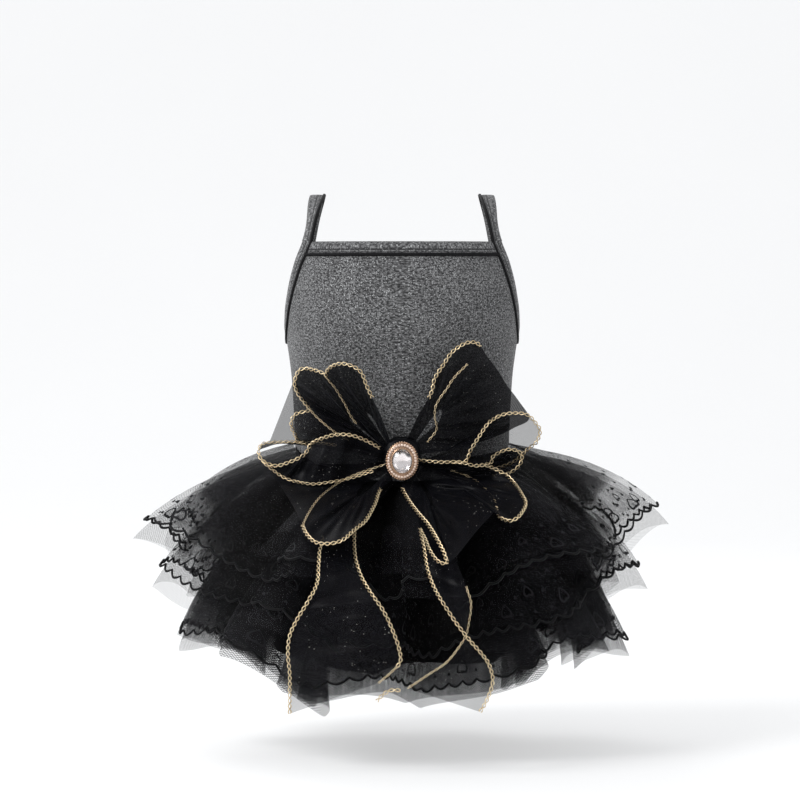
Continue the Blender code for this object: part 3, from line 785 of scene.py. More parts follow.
def pleat(angle, t, tier, shift):
    """Out-and-in movement from -1 to 1, sideways swing as an angle, and how far the hem's corners drop."""
    turn = tier["turn"]
    phase = PLEATS * angle + turn * np.pi / 2 + 2.1 * shift
    phase = phase + 1.0 * np.sin(3 * angle + turn + shift) + 0.6 * np.sin(5 * angle + 2 * turn - shift)
    wave = 2 / np.pi * np.arcsin(np.sin(phase)) * (0.82 + 0.18 * np.sin(4 * angle + 0.7 + turn))
    outward = 1.5 * np.tanh(3 * np.sin(angle))
    swing = (outward * np.sin(phase) - 0.4 * np.sin(2 * phase)) / PLEATS * t**0.9
    corner = np.abs(2 / np.pi * np.arcsin(np.sin(phase))) ** 2
    return wave, swing, corner


def on_tier(angle, t, tier, offset=0.0, shift=0.0):
    """Points of a tier; t runs from seam to hem, and offset lifts the cloth off the tier's own net."""
    turn = tier["turn"]
    wave, swing, corner = pleat(angle, t, tier, shift)
    around = angle + swing
    seat = KNIT_WALL / 2 + NET_WALL / 2 + 2 * SEAM_GAP
    x0, y0 = oval(around, HALF_WIDTHS[-1] + seat, HALF_DEPTHS[-1] + seat)
    uneven = 1 + 0.045 * np.sin(5 * around + 1.3 + turn) + 0.03 * np.sin(8 * around + 0.4 - 2 * turn)
    squareness = 2 + (SQUARENESS - 2) * (1 - t)
    side, front = HALF_WIDTHS[-1] + tier["side"] * MM, HALF_DEPTHS[-1] + tier["front"] * MM
    x1, y1 = oval(around, side, front, squareness)
    outward = np.stack([x1 - x0, y1 - y0, 0 * x0], axis=-1) * uneven[..., None]
    reach = np.linalg.norm(outward, axis=-1)
    outward = outward / reach[..., None]
    out, fall = tier_profile(around, t)
    next_out, next_fall = tier_profile(around, t + 0.01)
    drop = tier["drop"] * MM * (1 - tier["lift"] * np.sin(around) ** 2)
    wavy = 1 + 0.05 * np.sin(3 * around + turn) + 0.06 * np.sin(7 * around + 2.2 * turn + 0.6)
    level = waist_level(around) + tier["start"] * MM + drop * fall * wavy
    along, up = drop * (next_fall - fall), reach * (next_out - out)
    length = np.hypot(along, up)
    across, rise = along / length, up / length
    deep = tier["fold"] * MM * (0.9 + 0.25 * np.abs(np.sin(around)))
    moved = offset + deep * t * wave + CRINKLE * np.sin(5 * PLEATS * angle) * (1 - t)
    away = reach * out + across * np.minimum(1.0, 4 * t) * moved
    point = np.stack([x0, y0, 0 * x0], axis=-1) + outward * away[..., None]
    at_seam = offset * (1 - rise) * np.maximum(0.0, 1 - 4 * t)
    point[..., 2] = -level + rise * moved + at_seam - CORNER_DROP * t**2 * (corner - 0.5)
    return point


def give_number(mesh, name, values):
    """Store a number at each point, which the finish can read."""
    layer = mesh.attributes.new(name, "FLOAT", "POINT")
    layer.data.foreach_set("value", np.asarray(values, np.float32))


def grid_shares(mesh, flat):
    """Where each point lies on its grid, along and down, from 0 to 1, read off the flat map."""
    point = np.empty(len(mesh.loops), np.int32)
    mesh.loops.foreach_get("vertex_index", point)
    uv = np.empty(2 * len(mesh.loops), np.float32)
    mesh.uv_layers["flat"].data.foreach_get("uv", uv)
    shares = np.zeros((len(mesh.vertices), 2))
    shares[point] = uv.reshape(-1, 2) / flat
    return shares.T


def mark_folds(mesh, flat, part, tier, shift, most):
    """Store how many layers lie at each point, and its place on a fold, from furrow, -1, to crest, 1."""
    along, down = grid_shares(mesh, flat)
    t = down * part
    layers = tier["layers"] * (1 + 1.1 * np.cos(2 * np.pi * along) ** 2 * (tier["layers"] > 2))
    give_number(mesh, "fullness", layers + most * np.clip(1 - t / tier["clear_from"], 0, 1) ** 0.6)
    # The place on a fold also sets the painted shade of net and lace: darker furrows, lighter crests.
    give_number(mesh, "fold", pleat(2 * np.pi * along, t, tier, shift)[0])


# %% Net of each tier: a ruffle and a shorter one under it
def tier_length(tier):
    """Seam to hem along the cloth, in metres."""
    t = np.linspace(0, 1, 60)
    line = on_tier(np.full(60, np.pi / 2), t, tier)
    return float(np.linalg.norm(np.diff(line, axis=0), axis=1).sum())


def hem_length(tier, t=1.0):
    angle = np.linspace(0, 2 * np.pi, 2400)
    line = on_tier(angle, np.full(2400, t), tier)
    return float(np.linalg.norm(np.diff(line, axis=0), axis=1).sum())


# Each length is cut flared, shorter at the seam than at the hem: its area as a share of hem times depth.
FLARE = 0.75
NODES = {
    "top": ("tulle_tier_1", "lace_tier_1"), "middle": ("tulle_tier_2", None),
    "low": ("tulle_tier_3", "lace_tier_3")
}


def net_sheet(name, tier, offset, shift, part, most, *nodes):
    deep, round_it = tier_length(tier) * part, hem_length(tier, part)
    along, across = 600, 22

    def place(u, v):
        return on_tier(2 * np.pi * u, v * part, tier, offset, shift)

    mesh = cloth_mesh(name, along, across, place, ring=True, flat=(round_it, deep))
    mark_folds(mesh, (round_it, deep), part, tier, shift, most)
    made = show(name, mesh, tulle, "black_tulle", *nodes)
    cut = FLARE * round_it * deep
    share = area_of(made) / cut
    print(f"{name}: hem {round_it * 1000:.0f} mm, deep {deep * 1000:.0f} mm, share of flat area {share:.2f}")


for label, tier in TIERS.items():
    net_sheet(f"net_{label}", tier, 0.0, 0.0, 1.0, 10.0, NODES[label][0])
    net_sheet(f"net_{label}_under", tier, -2.5 * MM, 0.5, 0.97 if label == "low" else 0.80, 10.0)

# %% [markdown]
# The lace ends in scallops. Its grid stops exactly on the scalloped line, eight columns to a scallop, and a
# thick cord of satin stitches follows that line. The cord is real geometry, because it is the boldest line
# of the skirt.

# %% Lace of each tier with its scalloped cord
SCALLOP_DEEP = 2.6 * MM


def lace_sheet(label, tier, offset, part, most, *nodes):
    deep = tier_length(tier)
    round_it = hem_length(tier, part)
    scallops = int(round(round_it / PITCH))
    columns = scallops * 8

    def edge(u):
        return part + SCALLOP_DEEP / deep * (np.abs(np.sin(np.pi * scallops * u)) - 0.6)

    def place(u, v):
        t = v * edge(u)
        return on_tier(2 * np.pi * u, t, tier, offset)

    name = f"lace_{label}"
    mesh = cloth_mesh(name, columns, 14, place, ring=True, flat=(scallops, 1.0))
    mark_folds(mesh, (scallops, 1.0), part, tier, 0.0, most)
    high = deep * part / PITCH
    for item in mesh.uv_layers["flat"].data:
        item.uv = (item.uv[0], (1 - item.uv[1]) * high)
    made = show(name, mesh, lace, "black_lace", *nodes)
    u = np.linspace(0, 1, columns, endpoint=False)
    cord = show(
        f"scallop_cord_{label}",
        cords_mesh(
            f"scallop_cord_{label}", [on_tier(2 * np.pi * u, edge(u), tier, offset + 0.2 * MM)], 0.68 * MM,
            sides=4, closed=True
        ),
        seam_thread, "black_lace",
    )
    area, cut = area_of(made), FLARE * round_it * deep * part
    print(f"{name}: {scallops} scallops, share of flat area {area / cut:.2f}")


lace_sheet("top", TIERS["top"], 3.0 * MM, 0.87, 4.0, "lace_tier_1")
lace_sheet("middle", TIERS["middle"], 2.5 * MM, 0.87, 4.0)
lace_sheet("low", TIERS["low"], 2.5 * MM, 0.92, 4.0, "lace_tier_3")

# %% [markdown]
# Under the tiers a plain lining joins the waist seam and carries them, and a short underskirt keeps the net
# off the wearer. Both are closely woven, so nothing shows through them.

# %% Waist lining and underskirt
def place(u, v):
    angle = 2 * np.pi * u
    x, y = oval(angle, HALF_WIDTHS[-1], HALF_DEPTHS[-1])
    down = waist_level(angle) + 2 * SEAM_GAP + 36 * MM * v
    return np.stack([x, y, -down], axis=-1)


mesh = cloth_mesh("waist_lining", 180, 10, place, ring=True, flat=(0.34, 0.036))
waist_lining = thicken(show("waist_lining", mesh, lining, "black_lining", "skirt_yoke"), 0.8 * MM)


def place(u, v):
    return on_tier(2 * np.pi * u, 0.80 * v, TIERS["low"], -4.5 * MM, 1.2)


mesh = cloth_mesh("underskirt", 360, 16, place, ring=True, flat=(0.6, 0.09))
underskirt = show("underskirt", mesh, lining, "black_lining")
under_flat = round(hem_length(TIERS["low"], 0.8), 3), round(0.8 * tier_length(TIERS["low"]), 3)
print("lining made")

# %% [markdown]
# ## Bow
# The bow is many loops and two tails of one wide sheer ribbon, tied at the waist. Each edge of the ribbon
# holds its own curve, because the gold braid sewn on it is stiff. So a loop is made from its two edge
# curves. Each curve is a row of places as they show from the front, two metres away, with how far the
# ribbon stands off the dress there. The cloth between them is a grid that is crumpled by a few crossing
# folds.

# %% How far forward the dress comes
# The plain ruffle that the bow's solids were laid over, in millimetres from the waist seam.
SKIRT_SIDE, SKIRT_FRONT, SKIRT_START, SKIRT_DROP = (v * MM for v in (79, 73, 3, 57))
SKIRT_LIFT, SKIRT_FOLD = 3.5 * MM, 7 * MM


def front_depth(x, down):
    """How far forward of the middle the knit or the skirt comes, seen from the front."""
    wide, deep = half_width(np.minimum(down, WAIST)), half_depth(np.minimum(down, WAIST))
    angle = np.arcsin(np.minimum(0.9, np.abs(x) / (wide + 0.6 * SKIRT_SIDE)))
    fallen = (down - waist_level(angle) - SKIRT_START + SKIRT_LIFT) / SKIRT_DROP
    low, high = np.zeros_like(angle), np.ones_like(angle)
    for _ in range(24):
        middle = (low + high) / 2
        less = tier_profile(angle, middle)[1] < fallen
        low, high = np.where(less, middle, low), np.where(less, high, middle)
    t = np.where(fallen > 0, (low + high) / 2, 0.0)
    out = tier_profile(angle, t)[0]
    puff = (SKIRT_FOLD + SKIRT_LIFT) * np.minimum(1.0, 2 * t)
    wide, deep = wide + SKIRT_SIDE * out + puff, deep + SKIRT_FRONT * out + puff
    sideways = np.minimum(0.85, np.abs(x) / wide)
    return deep * (1 - sideways**SQUARENESS) ** (1 / SQUARENESS) + NET_WALL + KNIT_WALL


def from_front(across, down, lift):
    """The place of something that shows at (across, down) from the front and stands lift off the dress."""
    y = np.full(np.shape(across), -0.08)
    for _ in range(5):
        nearer = (VIEW_DISTANCE + y) / VIEW_DISTANCE
        x, level = across * nearer, (down + VIEW_HEIGHT) * nearer - VIEW_HEIGHT
        y = -front_depth(x, level) - lift
    return np.stack([x, y, -level], axis=-1)


print(
    "the dress comes forward", round(float(front_depth(np.array([0.0]), np.array([0.18]))[0]) * 1000),
    "mm at level 180"
)

# %% Edge curves of the ribbons: millimetres across, down and off the dress
# A loop with a second row has a rear edge that shows; in the others the rear edge is drawn in close to the
# knot.
RIBBONS = {
    "top_left": (
        (
            (-6, 136, 9), (-12, 120, 16), (-19, 105, 21), (-23, 96, 23), (-31, 92, 24), (-38, 93, 23),
            (-42, 98, 20), (-37, 105, 16), (-32, 113, 13), (-25, 125, 10), (-9, 138, 7)
        ),
        None,
    ),
    "upper_left": (
        (
            (-8, 138, 9), (-26, 120, 14), (-37, 105, 18), (-42, 98, 20), (-50, 95, 22), (-56, 95, 23),
            (-59, 101, 23), (-58, 107, 21), (-53, 114, 18), (-45, 123, 13), (-31, 133, 9), (-10, 140, 7)
        ),
        None,
    ),
    "left_sheer": (
        (
            (-9, 139, 5), (-29, 124, 5), (-45, 112, 6), (-60, 102, 6), (-45, 113, 4), (-29, 125, 3),
            (-9, 139, 3)
        ),
        (
            (-10, 142, 5), (-29, 139, 5), (-51, 137, 6), (-73, 135, 6), (-51, 137, 3), (-29, 140, 3),
            (-10, 143, 3)
        ),
    ),
    "left_curl": (
        (
            (-10, 140, 8), (-31, 125, 10), (-46, 118, 13), (-53, 118, 15), (-59, 120, 16), (-61, 125, 16),
            (-59, 131, 15), (-56, 135, 13), (-45, 137, 10), (-29, 139, 8), (-10, 143, 6)
        ),
        None,
    ),
    "left": (
        (
            (-9, 140, 9), (-20, 134, 16), (-29, 131, 20), (-37, 131, 22), (-44, 133, 24), (-50, 136, 25),
            (-54, 142, 26), (-62, 146, 26), (-70, 148, 25), (-77, 145, 24), (-79, 140, 22), (-77, 136, 20),
            (-70, 135, 17), (-56, 135, 14), (-34, 137, 11), (-9, 142, 8)
        ),
        (
            (-9, 147, 6), (-18, 151, 9), (-29, 155, 12), (-40, 157, 14), (-51, 158, 15), (-58, 157, 16),
            (-64, 155, 16), (-70, 152, 16), (-74, 148, 16), (-78, 144, 15), (-79, 140, 13), (-75, 138, 12),
            (-67, 136, 10), (-53, 137, 8), (-34, 140, 6), (-9, 144, 4)
        ),
    ),
    "lower_left": (
        (
            (-5, 156, 9), (-12, 161, 14), (-15, 169, 18), (-20, 178, 21), (-26, 183, 23), (-33, 189, 24),
            (-41, 191, 24), (-48, 190, 22), (-53, 185, 20), (-56, 178, 18), (-62, 167, 16), (-67, 159, 14),
            (-74, 148, 12), (-62, 146, 10), (-45, 147, 8), (-29, 147, 7), (-9, 146, 6)
        ),
        None,
    ),
    "lower_middle": (
        (
            (13, 148, 8), (29, 152, 11), (43, 160, 14), (52, 167, 15), (51, 173, 16), (42, 183, 18),
            (34, 193, 20), (29, 199, 21), (25, 201, 22), (23, 196, 22), (19, 188, 21), (14, 180, 19),
            (8, 173, 17), (3, 166, 14), (0, 160, 11), (1, 156, 9)
        ),
        None,
    ),
    "lower_right": (
        (
            (9, 145, 9), (21, 146, 14), (32, 146, 18), (40, 148, 21), (47, 148, 23), (57, 153, 25),
            (62, 158, 26), (66, 164, 26), (68, 169, 25), (65, 175, 24), (61, 178, 22), (57, 178, 19),
            (53, 175, 16), (51, 167, 14), (46, 161, 12), (40, 156, 10), (29, 151, 8), (9, 148, 6)
        ),
        None,
    ),
    "small_right": (
        (
            (9, 146, 8), (26, 148, 12), (47, 147, 17), (50, 143, 19), (55, 140, 20), (59, 139, 20),
            (64, 140, 20), (66, 143, 19), (65, 147, 18), (61, 151, 16), (54, 153, 13), (37, 153, 9),
            (10, 149, 6)
        ),
        None,
    ),
    "right": (
        (
            (9, 144, 9), (21, 145, 14), (34, 146, 18), (38, 139, 22), (43, 131, 24), (48, 124, 25),
            (55, 120, 25), (62, 119, 25), (69, 120, 25), (74, 125, 24), (76, 129, 23), (74, 135, 21),
            (69, 139, 18), (61, 146, 15), (48, 150, 12), (32, 149, 9), (10, 147, 6)
        ),
        None,
    ),
    "upper_right": (
        (
            (2, 135, 8), (9, 120, 13), (16, 108, 16), (18, 100, 17), (23, 92, 18), (27, 86, 18), (32, 82, 17),
            (37, 80, 17), (42, 81, 17), (47, 88, 16), (53, 96, 15), (58, 104, 14), (64, 112, 13),
            (70, 122, 12), (62, 127, 11), (54, 131, 10), (43, 135, 9), (29, 139, 8), (7, 142, 7)
        ),
        None,
    ),
    "tail_left": (
        (
            (-6, 156, 4), (-23, 169, 4), (-40, 183, 4), (-45, 193, 4), (-46, 202, 4), (-47, 213, 4),
            (-52, 223, 4), (-58, 233, 4), (-62, 242, 4), (-63, 252, 4), (-62, 263, 3), (-62, 274, 0),
            (-62, 285, -4)
        ),
        (
            (-3, 157, 4), (-13, 167, 4), (-22, 175, 4), (-26, 183, 4), (-26, 197, 4), (-23, 208, 4),
            (-18, 217, 5), (-11, 227, 5), (-6, 237, 5), (-2, 248, 5), (-1, 256, 3), (-6, 262, 1),
            (-13, 268, -2)
        ),
    ),
    "tail_right": (
        (
            (1, 157, 4), (6, 169, 4), (9, 178, 4), (10, 184, 4), (12, 193, 4), (14, 205, 4), (18, 216, 4),
            (24, 226, 5), (30, 235, 6), (37, 244, 6), (44, 252, 5), (48, 258, 3), (50, 267, 1), (47, 277, -1),
            (43, 284, -3)
        ),
        (
            (3, 157, 4), (13, 169, 4), (20, 180, 4), (25, 190, 4), (30, 201, 4), (34, 211, 4), (36, 217, 4),
            (38, 224, 3), (37, 233, 2), (35, 242, 2), (30, 250, 2), (24, 257, 1), (15, 263, 0), (9, 267, -1),
            (3, 271, -2)
        ),
    ),
}
STANDS_FOR = {
    "top_left": "bow_loop_top_left", "upper_left": "bow_loop_upper_left", "left_sheer": "bow_loop_left_sheer",
    "left": "bow_loop_left", "lower_left": "bow_loop_lower_left", "lower_middle": "bow_loop_lower_middle",
    "lower_right": "bow_loop_lower_right", "small_right": "bow_loop_small_right", "right": "bow_loop_right",
    "upper_right": "bow_loop_upper_right", "tail_left": "bow_tail_left", "tail_right": "bow_tail_right",
}
# How solid one layer of each ribbon looks, from 0 to 1; the outermost loops are a single clear layer.
SOLIDITY = {
    "left_sheer": 0.30, "left_curl": 0.5, "right": 0.45, "upper_right": 0.78, "tail_left": 0.72,
    "tail_right": 0.76, "small_right": 0.45
}

# Where gold braid shows: edge 0 is the front one and 1 the rear, then from and to as shares, then its
# strand radius.
BRAIDS = {
    "top_left": ((0, 0.16, 0.62, 0.42), (0, 0.62, 0.9, 0.22)),
    "upper_left": ((0, 0.27, 0.75, 0.42), (0, 0.75, 0.92, 0.22)),
    "left_sheer": (),
    "left_curl": ((0, 0.24, 0.76, 0.40),),
    "left": ((0, 0.02, 0.66, 0.42), (0, 0.66, 0.93, 0.34)),
    "lower_left": ((0, 0.06, 0.545, 0.42),),
    "lower_middle": ((0, 0.53, 0.93, 0.46),),
    "lower_right": ((0, 0.0, 0.74, 0.42), (0, 0.74, 0.95, 0.24)),
    "small_right": ((0, 0.14, 0.86, 0.40),),
    "right": ((0, 0.10, 0.88, 0.40),),
    "upper_right": ((0, 0.10, 0.46, 0.42),),
    "tail_left": ((0, 0.2, 1.0, 0.40), (1, 0.2, 0.88, 0.40), (1, 0.88, 1.0, 0.24)),
    "tail_right": ((0, 0.2, 1.0, 0.40), (1, 0.40, 1.0, 0.24)),
}
# Braid of the ribbon's other edge, which shows through the cloth or turns back over it: radius, then places.
INNER_BRAIDS = {
    "lower_left": (
        0.24, ((-55, 181, 20), (-51, 173, 18), (-45, 165, 16), (-36, 158, 14), (-26, 153, 12), (-9, 147, 9))
    ),
    "lower_middle": (
        0.40, ((25, 201, 23), (23, 202, 22), (19, 200, 20), (15, 194, 18), (13, 189, 15), (10, 183, 12))
    ),
    "upper_right": (0.24, (
        (36, 92, 18), (29, 99, 17), (25, 105, 17), (19, 114, 15), (18, 121, 14), (19, 128, 12), (14, 135, 10),
    )),
    "left": (0.34, (
        (-77, 145, 17), (-74, 148, 18), (-64, 155, 18), (-51, 158, 17), (-40, 157, 16), (-29, 155, 14),
        (-16, 151, 11),
    )),
    "tail_left": (0.42, ((-14, 278, -2), (-10, 274, -2), (-6, 272, -2), (-1, 272, -2))),
}


def row_curve(row, at):
    """Points of one edge, read at shares of its rows."""
    row = np.array(row) * MM
    smooth = smooth_through(np.linspace(0, 1, len(row)), row, at)
    return from_front(smooth[..., 0], smooth[..., 1], smooth[..., 2])


def pocket(row, at):
    """The rear edge of a loop whose back is drawn in: a narrow loop along its middle, close to the dress."""
    places = np.array(row) * MM
    knot = (places[0] + places[-1]) / 2
    tip = places[len(places) // 3: -len(places) // 3].mean(axis=0)
    bulge = np.sin(np.pi * at)[:, None]
    side = smooth_through(np.linspace(0, 1, len(places)), places, at)
    point = knot + (tip - knot) * 0.42 * bulge + (side - tip) * 0.10 * bulge
    return from_front(point[:, 0], point[:, 1], np.full(len(at), 3.5 * MM))


def crumple(u, v, seed):
    """Pleats that run out from the knot, and a few folds across them, none at the two stiff edges."""
    pleats = np.sin(31 * u + seed) + 0.6 * np.sin(53 * u + 2 * v + 2.3 * seed)
    pleats = pleats + 0.5 * np.sin(83 * u - 3 * v + seed)
    folds = 0.5 * np.sin(9 * v + 14 * u + seed * 1.7)
    return (pleats + folds) * np.sin(np.pi * v) ** 0.8 * np.clip(8 * u, 0, 1) * np.clip(8 * (1 - u), 0, 1)


# A strand's swing to the side and forward, and its own radius, as shares of the braid's radius.
STRAND_SIDE, STRAND_FRONT, STRAND_THICK = 1.9, 0.9, 0.76


def braid(line, radius, pitch=6.4 * MM):
    """Two thin strands twisted loosely round a line, so that dark shows between them."""
    steps = np.r_[0, np.cumsum(np.linalg.norm(np.diff(line, axis=0), axis=1))]
    count = max(12, int(steps[-1] / pitch * 12))
    at = np.linspace(0, steps[-1], count)
    middle = np.stack([np.interp(at, steps, line[:, k]) for k in range(3)], axis=-1)
    along = unit(np.gradient(middle, axis=0))
    side = unit(np.cross(along, np.array([0.0, 1.0, 0.0])))
    front = np.cross(side, along)
    strands = []
    for start in (0.0, np.pi):
        turn = (2 * np.pi * at / pitch + start)[:, None]
        swing = side * np.cos(turn) * radius * STRAND_SIDE + front * np.sin(turn) * radius * STRAND_FRONT
        strands.append(middle + swing)
    return strands


EDGE_STEPS, FIRM, FADE = 320, 0.8, 0.42
ribbon_report = []
for number, (label, (front_row, rear_row)) in enumerate(RIBBONS.items()):
    def place(u, v, number=number, front_row=front_row, rear_row=rear_row):
        a = row_curve(front_row, u)
        b = pocket(front_row, u) if rear_row is None else row_curve(rear_row, u)
        point = a + (b - a) * v[:, None]
        size = 1.0 if label.startswith("tail") else 1.5
        point[:, 1] += -crumple(u, v, 1.9 * number) * size * MM
        return point

    ends = np.linspace(0, 1, EDGE_STEPS)
    edges = [row_curve(front_row, ends), None if rear_row is None else row_curve(rear_row, ends)]
    length = float(np.linalg.norm(np.diff(edges[0], axis=0), axis=1).sum())
    mesh = cloth_mesh(f"ribbon_{label}", 160, 24, place, flat=(length, 0.04))
    nodes = [STANDS_FOR[label]] if label in STANDS_FOR else []
    made = show(f"ribbon_{label}", mesh, organza, "black_organza", *nodes)
    solid = np.full(len(mesh.vertices), SOLIDITY.get(label, FIRM))
    if label.startswith("tail"):
        solid -= FADE * np.clip((grid_shares(mesh, (length, 0.04))[0] - 0.45) / 0.55, 0, 1)
    give_number(mesh, "fullness", solid)
    trims = []
    runs = []
    for edge, first, last, radius in BRAIDS[label]:
        cut = slice(int(first * (EDGE_STEPS - 1)), int(last * (EDGE_STEPS - 1)) + 1)
        runs.append((edges[edge][cut], radius))
    if label in INNER_BRAIDS:
        radius, row = INNER_BRAIDS[label]
        runs.append((row_curve(row, np.linspace(0, 1, 120)), radius))
    for k, (line, radius) in enumerate(runs):
        strands = braid(line + np.array([0, -0.3 * MM, 0]), radius * MM)
        name = f"braid_{label}_{k}"
        mesh = cords_mesh(name, strands, STRAND_THICK * radius * MM, sides=4)
        trims.append(show(name, mesh, gold_braid, "rose_gold"))
    ribbon_report.append((label, made, trims, length, area_of(made)))
NARROWEST = 0.0101
for label, made, trims, length, area in ribbon_report:
    width = area / length
    print(f"ribbon {label}: {length / MM:.0f} by {width / MM:.0f} mm, area {area * 1e4:.1f} square cm")
    flat = round(length, 3), round(max(NARROWEST, width), 4)

# %% [markdown]
# ## Knot
# A short length of ribbon is wrapped round the middle of the bow and pinches everything under it. It is a
# rounded form with creases that run round it from top to bottom, where the ribbon is pulled together.

# %% Knot
KNOT_BACK = -(float(half_depth(KNOT_DROP - KNOT_HIGH)) + KNIT_WALL / 2 + SEAM_GAP)


def place(u, v):
    turn, tilt = 2 * np.pi * u, np.pi * (v - 0.5)
    ridge = 1 + 0.045 * np.sin(9 * turn + 2 * np.sin(turn)) * np.cos(tilt)
    c, s = np.cos(tilt), np.sin(tilt)
    x = KNOT_WIDE * np.sign(s) * np.abs(s) ** 0.8
    y = KNOT_BACK - KNOT_DEEP / 2 * (1 - np.cos(turn) * np.abs(c) ** 0.7 * ridge)
    z = -KNOT_DROP + KNOT_HIGH * np.sin(turn) * np.abs(c) ** 0.7 * ridge
    return np.stack([x, y, z], axis=-1)


mesh = cloth_mesh("bow_wrap", 96, 24, place, ring=True, flat=(0.05, 0.03))
show("bow_wrap", mesh, organza, "black_organza", "bow_knot")
give_number(mesh, "fullness", np.full(len(mesh.vertices), 1.0))
print("knot's front at", round((KNOT_BACK - KNOT_DEEP) * 1000, 1), "mm")

# %% [markdown]
# ## Brooch
# An oval plate with a beaded metal rim, a ring of pearl beads, a bezel and one cut stone. The beads are small
# and there are many of them, so each is a low ball; the stone's facets are flat, and a foil cup under it
# throws light back.

# %% Brooch plate, rim and bezel
KNOT_FRONT = KNOT_BACK - KNOT_DEEP
PLATE_THICK, PLATE_WIDE, PLATE_HIGH = 2.4 * MM, 8.4 * MM, 10.0 * MM
PLATE_FRONT = KNOT_FRONT - 0.3 * MM - PLATE_THICK
BROOCH_DROP = KNOT_DROP + 1.4 * MM
BEAD_WIDE, BEAD_HIGH = 8.6 * MM * 0.84, 10.2 * MM * 0.84


def oval_line(across, high, y, count=180):
    angle = np.linspace(0, 2 * np.pi, count, endpoint=False)
    return np.stack([across * np.cos(angle), np.full(count, y), -BROOCH_DROP + high * np.sin(angle)], axis=-1)


def even_angles(across, high, count):
    fine = np.linspace(0, 2 * np.pi, 721)
    steps = np.hypot(across * np.diff(np.cos(fine)), high * np.diff(np.sin(fine)))
    lengths = np.r_[0, np.cumsum(steps)]
    return np.interp(lengths[-1] * np.arange(count) / count, lengths, fine)


def beads_mesh(name, angles, across, high, y, radius, rounds):
    """Small balls on an oval, one at each angle."""
    beads = bmesh.new()
    for angle in angles:
        spot = Vector((across * math.cos(angle), y, -BROOCH_DROP + high * math.sin(angle)))
        made = bmesh.ops.create_icosphere(beads, subdivisions=rounds, radius=radius)
        bmesh.ops.translate(beads, verts=made["verts"], vec=spot)
    return finished(beads, name)


plate = bmesh.new()
bmesh.ops.create_cone(plate, cap_ends=True, segments=72, radius1=1.0, radius2=1.0, depth=PLATE_THICK)
for vert in plate.verts:
    x, y, z = vert.co
    vert.co = (x * PLATE_WIDE, KNOT_FRONT - 0.3 * MM - PLATE_THICK / 2 - z, y * PLATE_HIGH - BROOCH_DROP)
bmesh.ops.recalc_face_normals(plate, faces=plate.faces)
front_rim = [e for e in plate.edges if all(v.co.y < KNOT_FRONT - 1.5 * MM for v in e.verts)]
bmesh.ops.bevel(
    plate, geom=front_rim, offset=0.9 * MM, segments=4, profile=0.5, affect="EDGES", material=-1,
    clamp_overlap=True
)
mesh = finished(plate, "brooch_plate")
show("brooch_plate", mesh, rose_gold, "rose_gold", "brooch_setting")

rim_angles = even_angles(8.5 * MM, 10.1 * MM, 44)
mesh = beads_mesh("brooch_rim", rim_angles, 8.35 * MM, 9.95 * MM, PLATE_FRONT + 0.55 * MM, 0.62 * MM, 2)
show("brooch_rim", mesh, rose_gold, "rose_gold")

bezel_paths = [
    oval_line(5.45 * MM, 6.55 * MM, PLATE_FRONT - 0.5 * MM),
    oval_line(6.05 * MM, 7.15 * MM, PLATE_FRONT - 0.1 * MM)
]
mesh = cords_mesh("brooch_bezel", bezel_paths, 0.5 * MM, sides=8, closed=True)
show("brooch_bezel", mesh, rose_gold, "rose_gold")

# %% Pearl beads
pearl_angles = even_angles(BEAD_WIDE, BEAD_HIGH, 32)
mesh = beads_mesh("pearl_beads", pearl_angles, BEAD_WIDE, BEAD_HIGH, PLATE_FRONT - 0.45 * MM, 0.74 * MM, 3)
show("pearl_beads", mesh, pearl, "pink_pearl", "brooch_bead_ring")

# %% Cut stone and its foil
STONE_BACK = PLATE_FRONT - 0.3 * MM
STONE_WIDE, STONE_HIGH = 5.2 * MM, 6.3 * MM


def stone_point(share, angle, forward):
    """A place on the stone: a share of its half size out, and millimetres in front of its back."""
    x, z = STONE_WIDE * share * math.cos(angle), STONE_HIGH * share * math.sin(angle)
    return x, STONE_BACK - forward * MM, -BROOCH_DROP + z


def cut_gem(name, levels, material, slot, *nodes):
    """A faceted form from rings of points; levels are size share, forward distance, facets and turn."""
    gem = bmesh.new()
    for share, forward, facets, turn in levels:
        for n in range(facets):
            gem.verts.new(stone_point(share, 2 * math.pi * (n + turn) / facets, forward))
    hull = bmesh.ops.convex_hull(gem, input=gem.verts)
    bmesh.ops.delete(
        gem, geom=[g for g in hull["geom_interior"] if isinstance(g, bmesh.types.BMVert)], context="VERTS"
    )
    bmesh.ops.dissolve_limit(gem, angle_limit=math.radians(1), verts=gem.verts, edges=gem.edges)
    bmesh.ops.recalc_face_normals(gem, faces=gem.faces)
    mesh = finished(gem, name)
    show(name, mesh, material, slot, *nodes)
    mesh.shade_flat()


STONE_LEVELS = (
    (1.0, 1.1, 24, 0.0), (1.0, 1.5, 24, 0.0), (0.80, 2.6, 8, 0.5), (0.54, 3.4, 8, 0.0), (0.34, 3.8, 6, 0.3),
)
cut_gem("cut_stone", STONE_LEVELS, stone_glass, "clear_stone", "brooch_stone")
foil_cup = bmesh.new()
FOIL_FACETS = 16
cup = []
for ring, (share, forward) in enumerate(((0.99, 1.0), (0.55, 0.35), (0.22, 0.1))):
    cup.append([])
    for n in range(FOIL_FACETS):
        uneven = 1 + 0.12 * math.sin(5 * n + ring) if ring else 1
        angle = 2 * math.pi * (n + 0.5 * ring) / FOIL_FACETS
        cup[ring].append(foil_cup.verts.new(stone_point(share * uneven, angle, forward * uneven)))
middle = foil_cup.verts.new((0.3 * MM, STONE_BACK - 0.02 * MM, -BROOCH_DROP + 0.4 * MM))
for outer, inner in ((cup[0], cup[1]), (cup[1], cup[2])):
    for n in range(FOIL_FACETS):
        following = (n + 1) % FOIL_FACETS
        foil_cup.faces.new((outer[n], outer[following], inner[n]))
        foil_cup.faces.new((outer[following], inner[following], inner[n]))
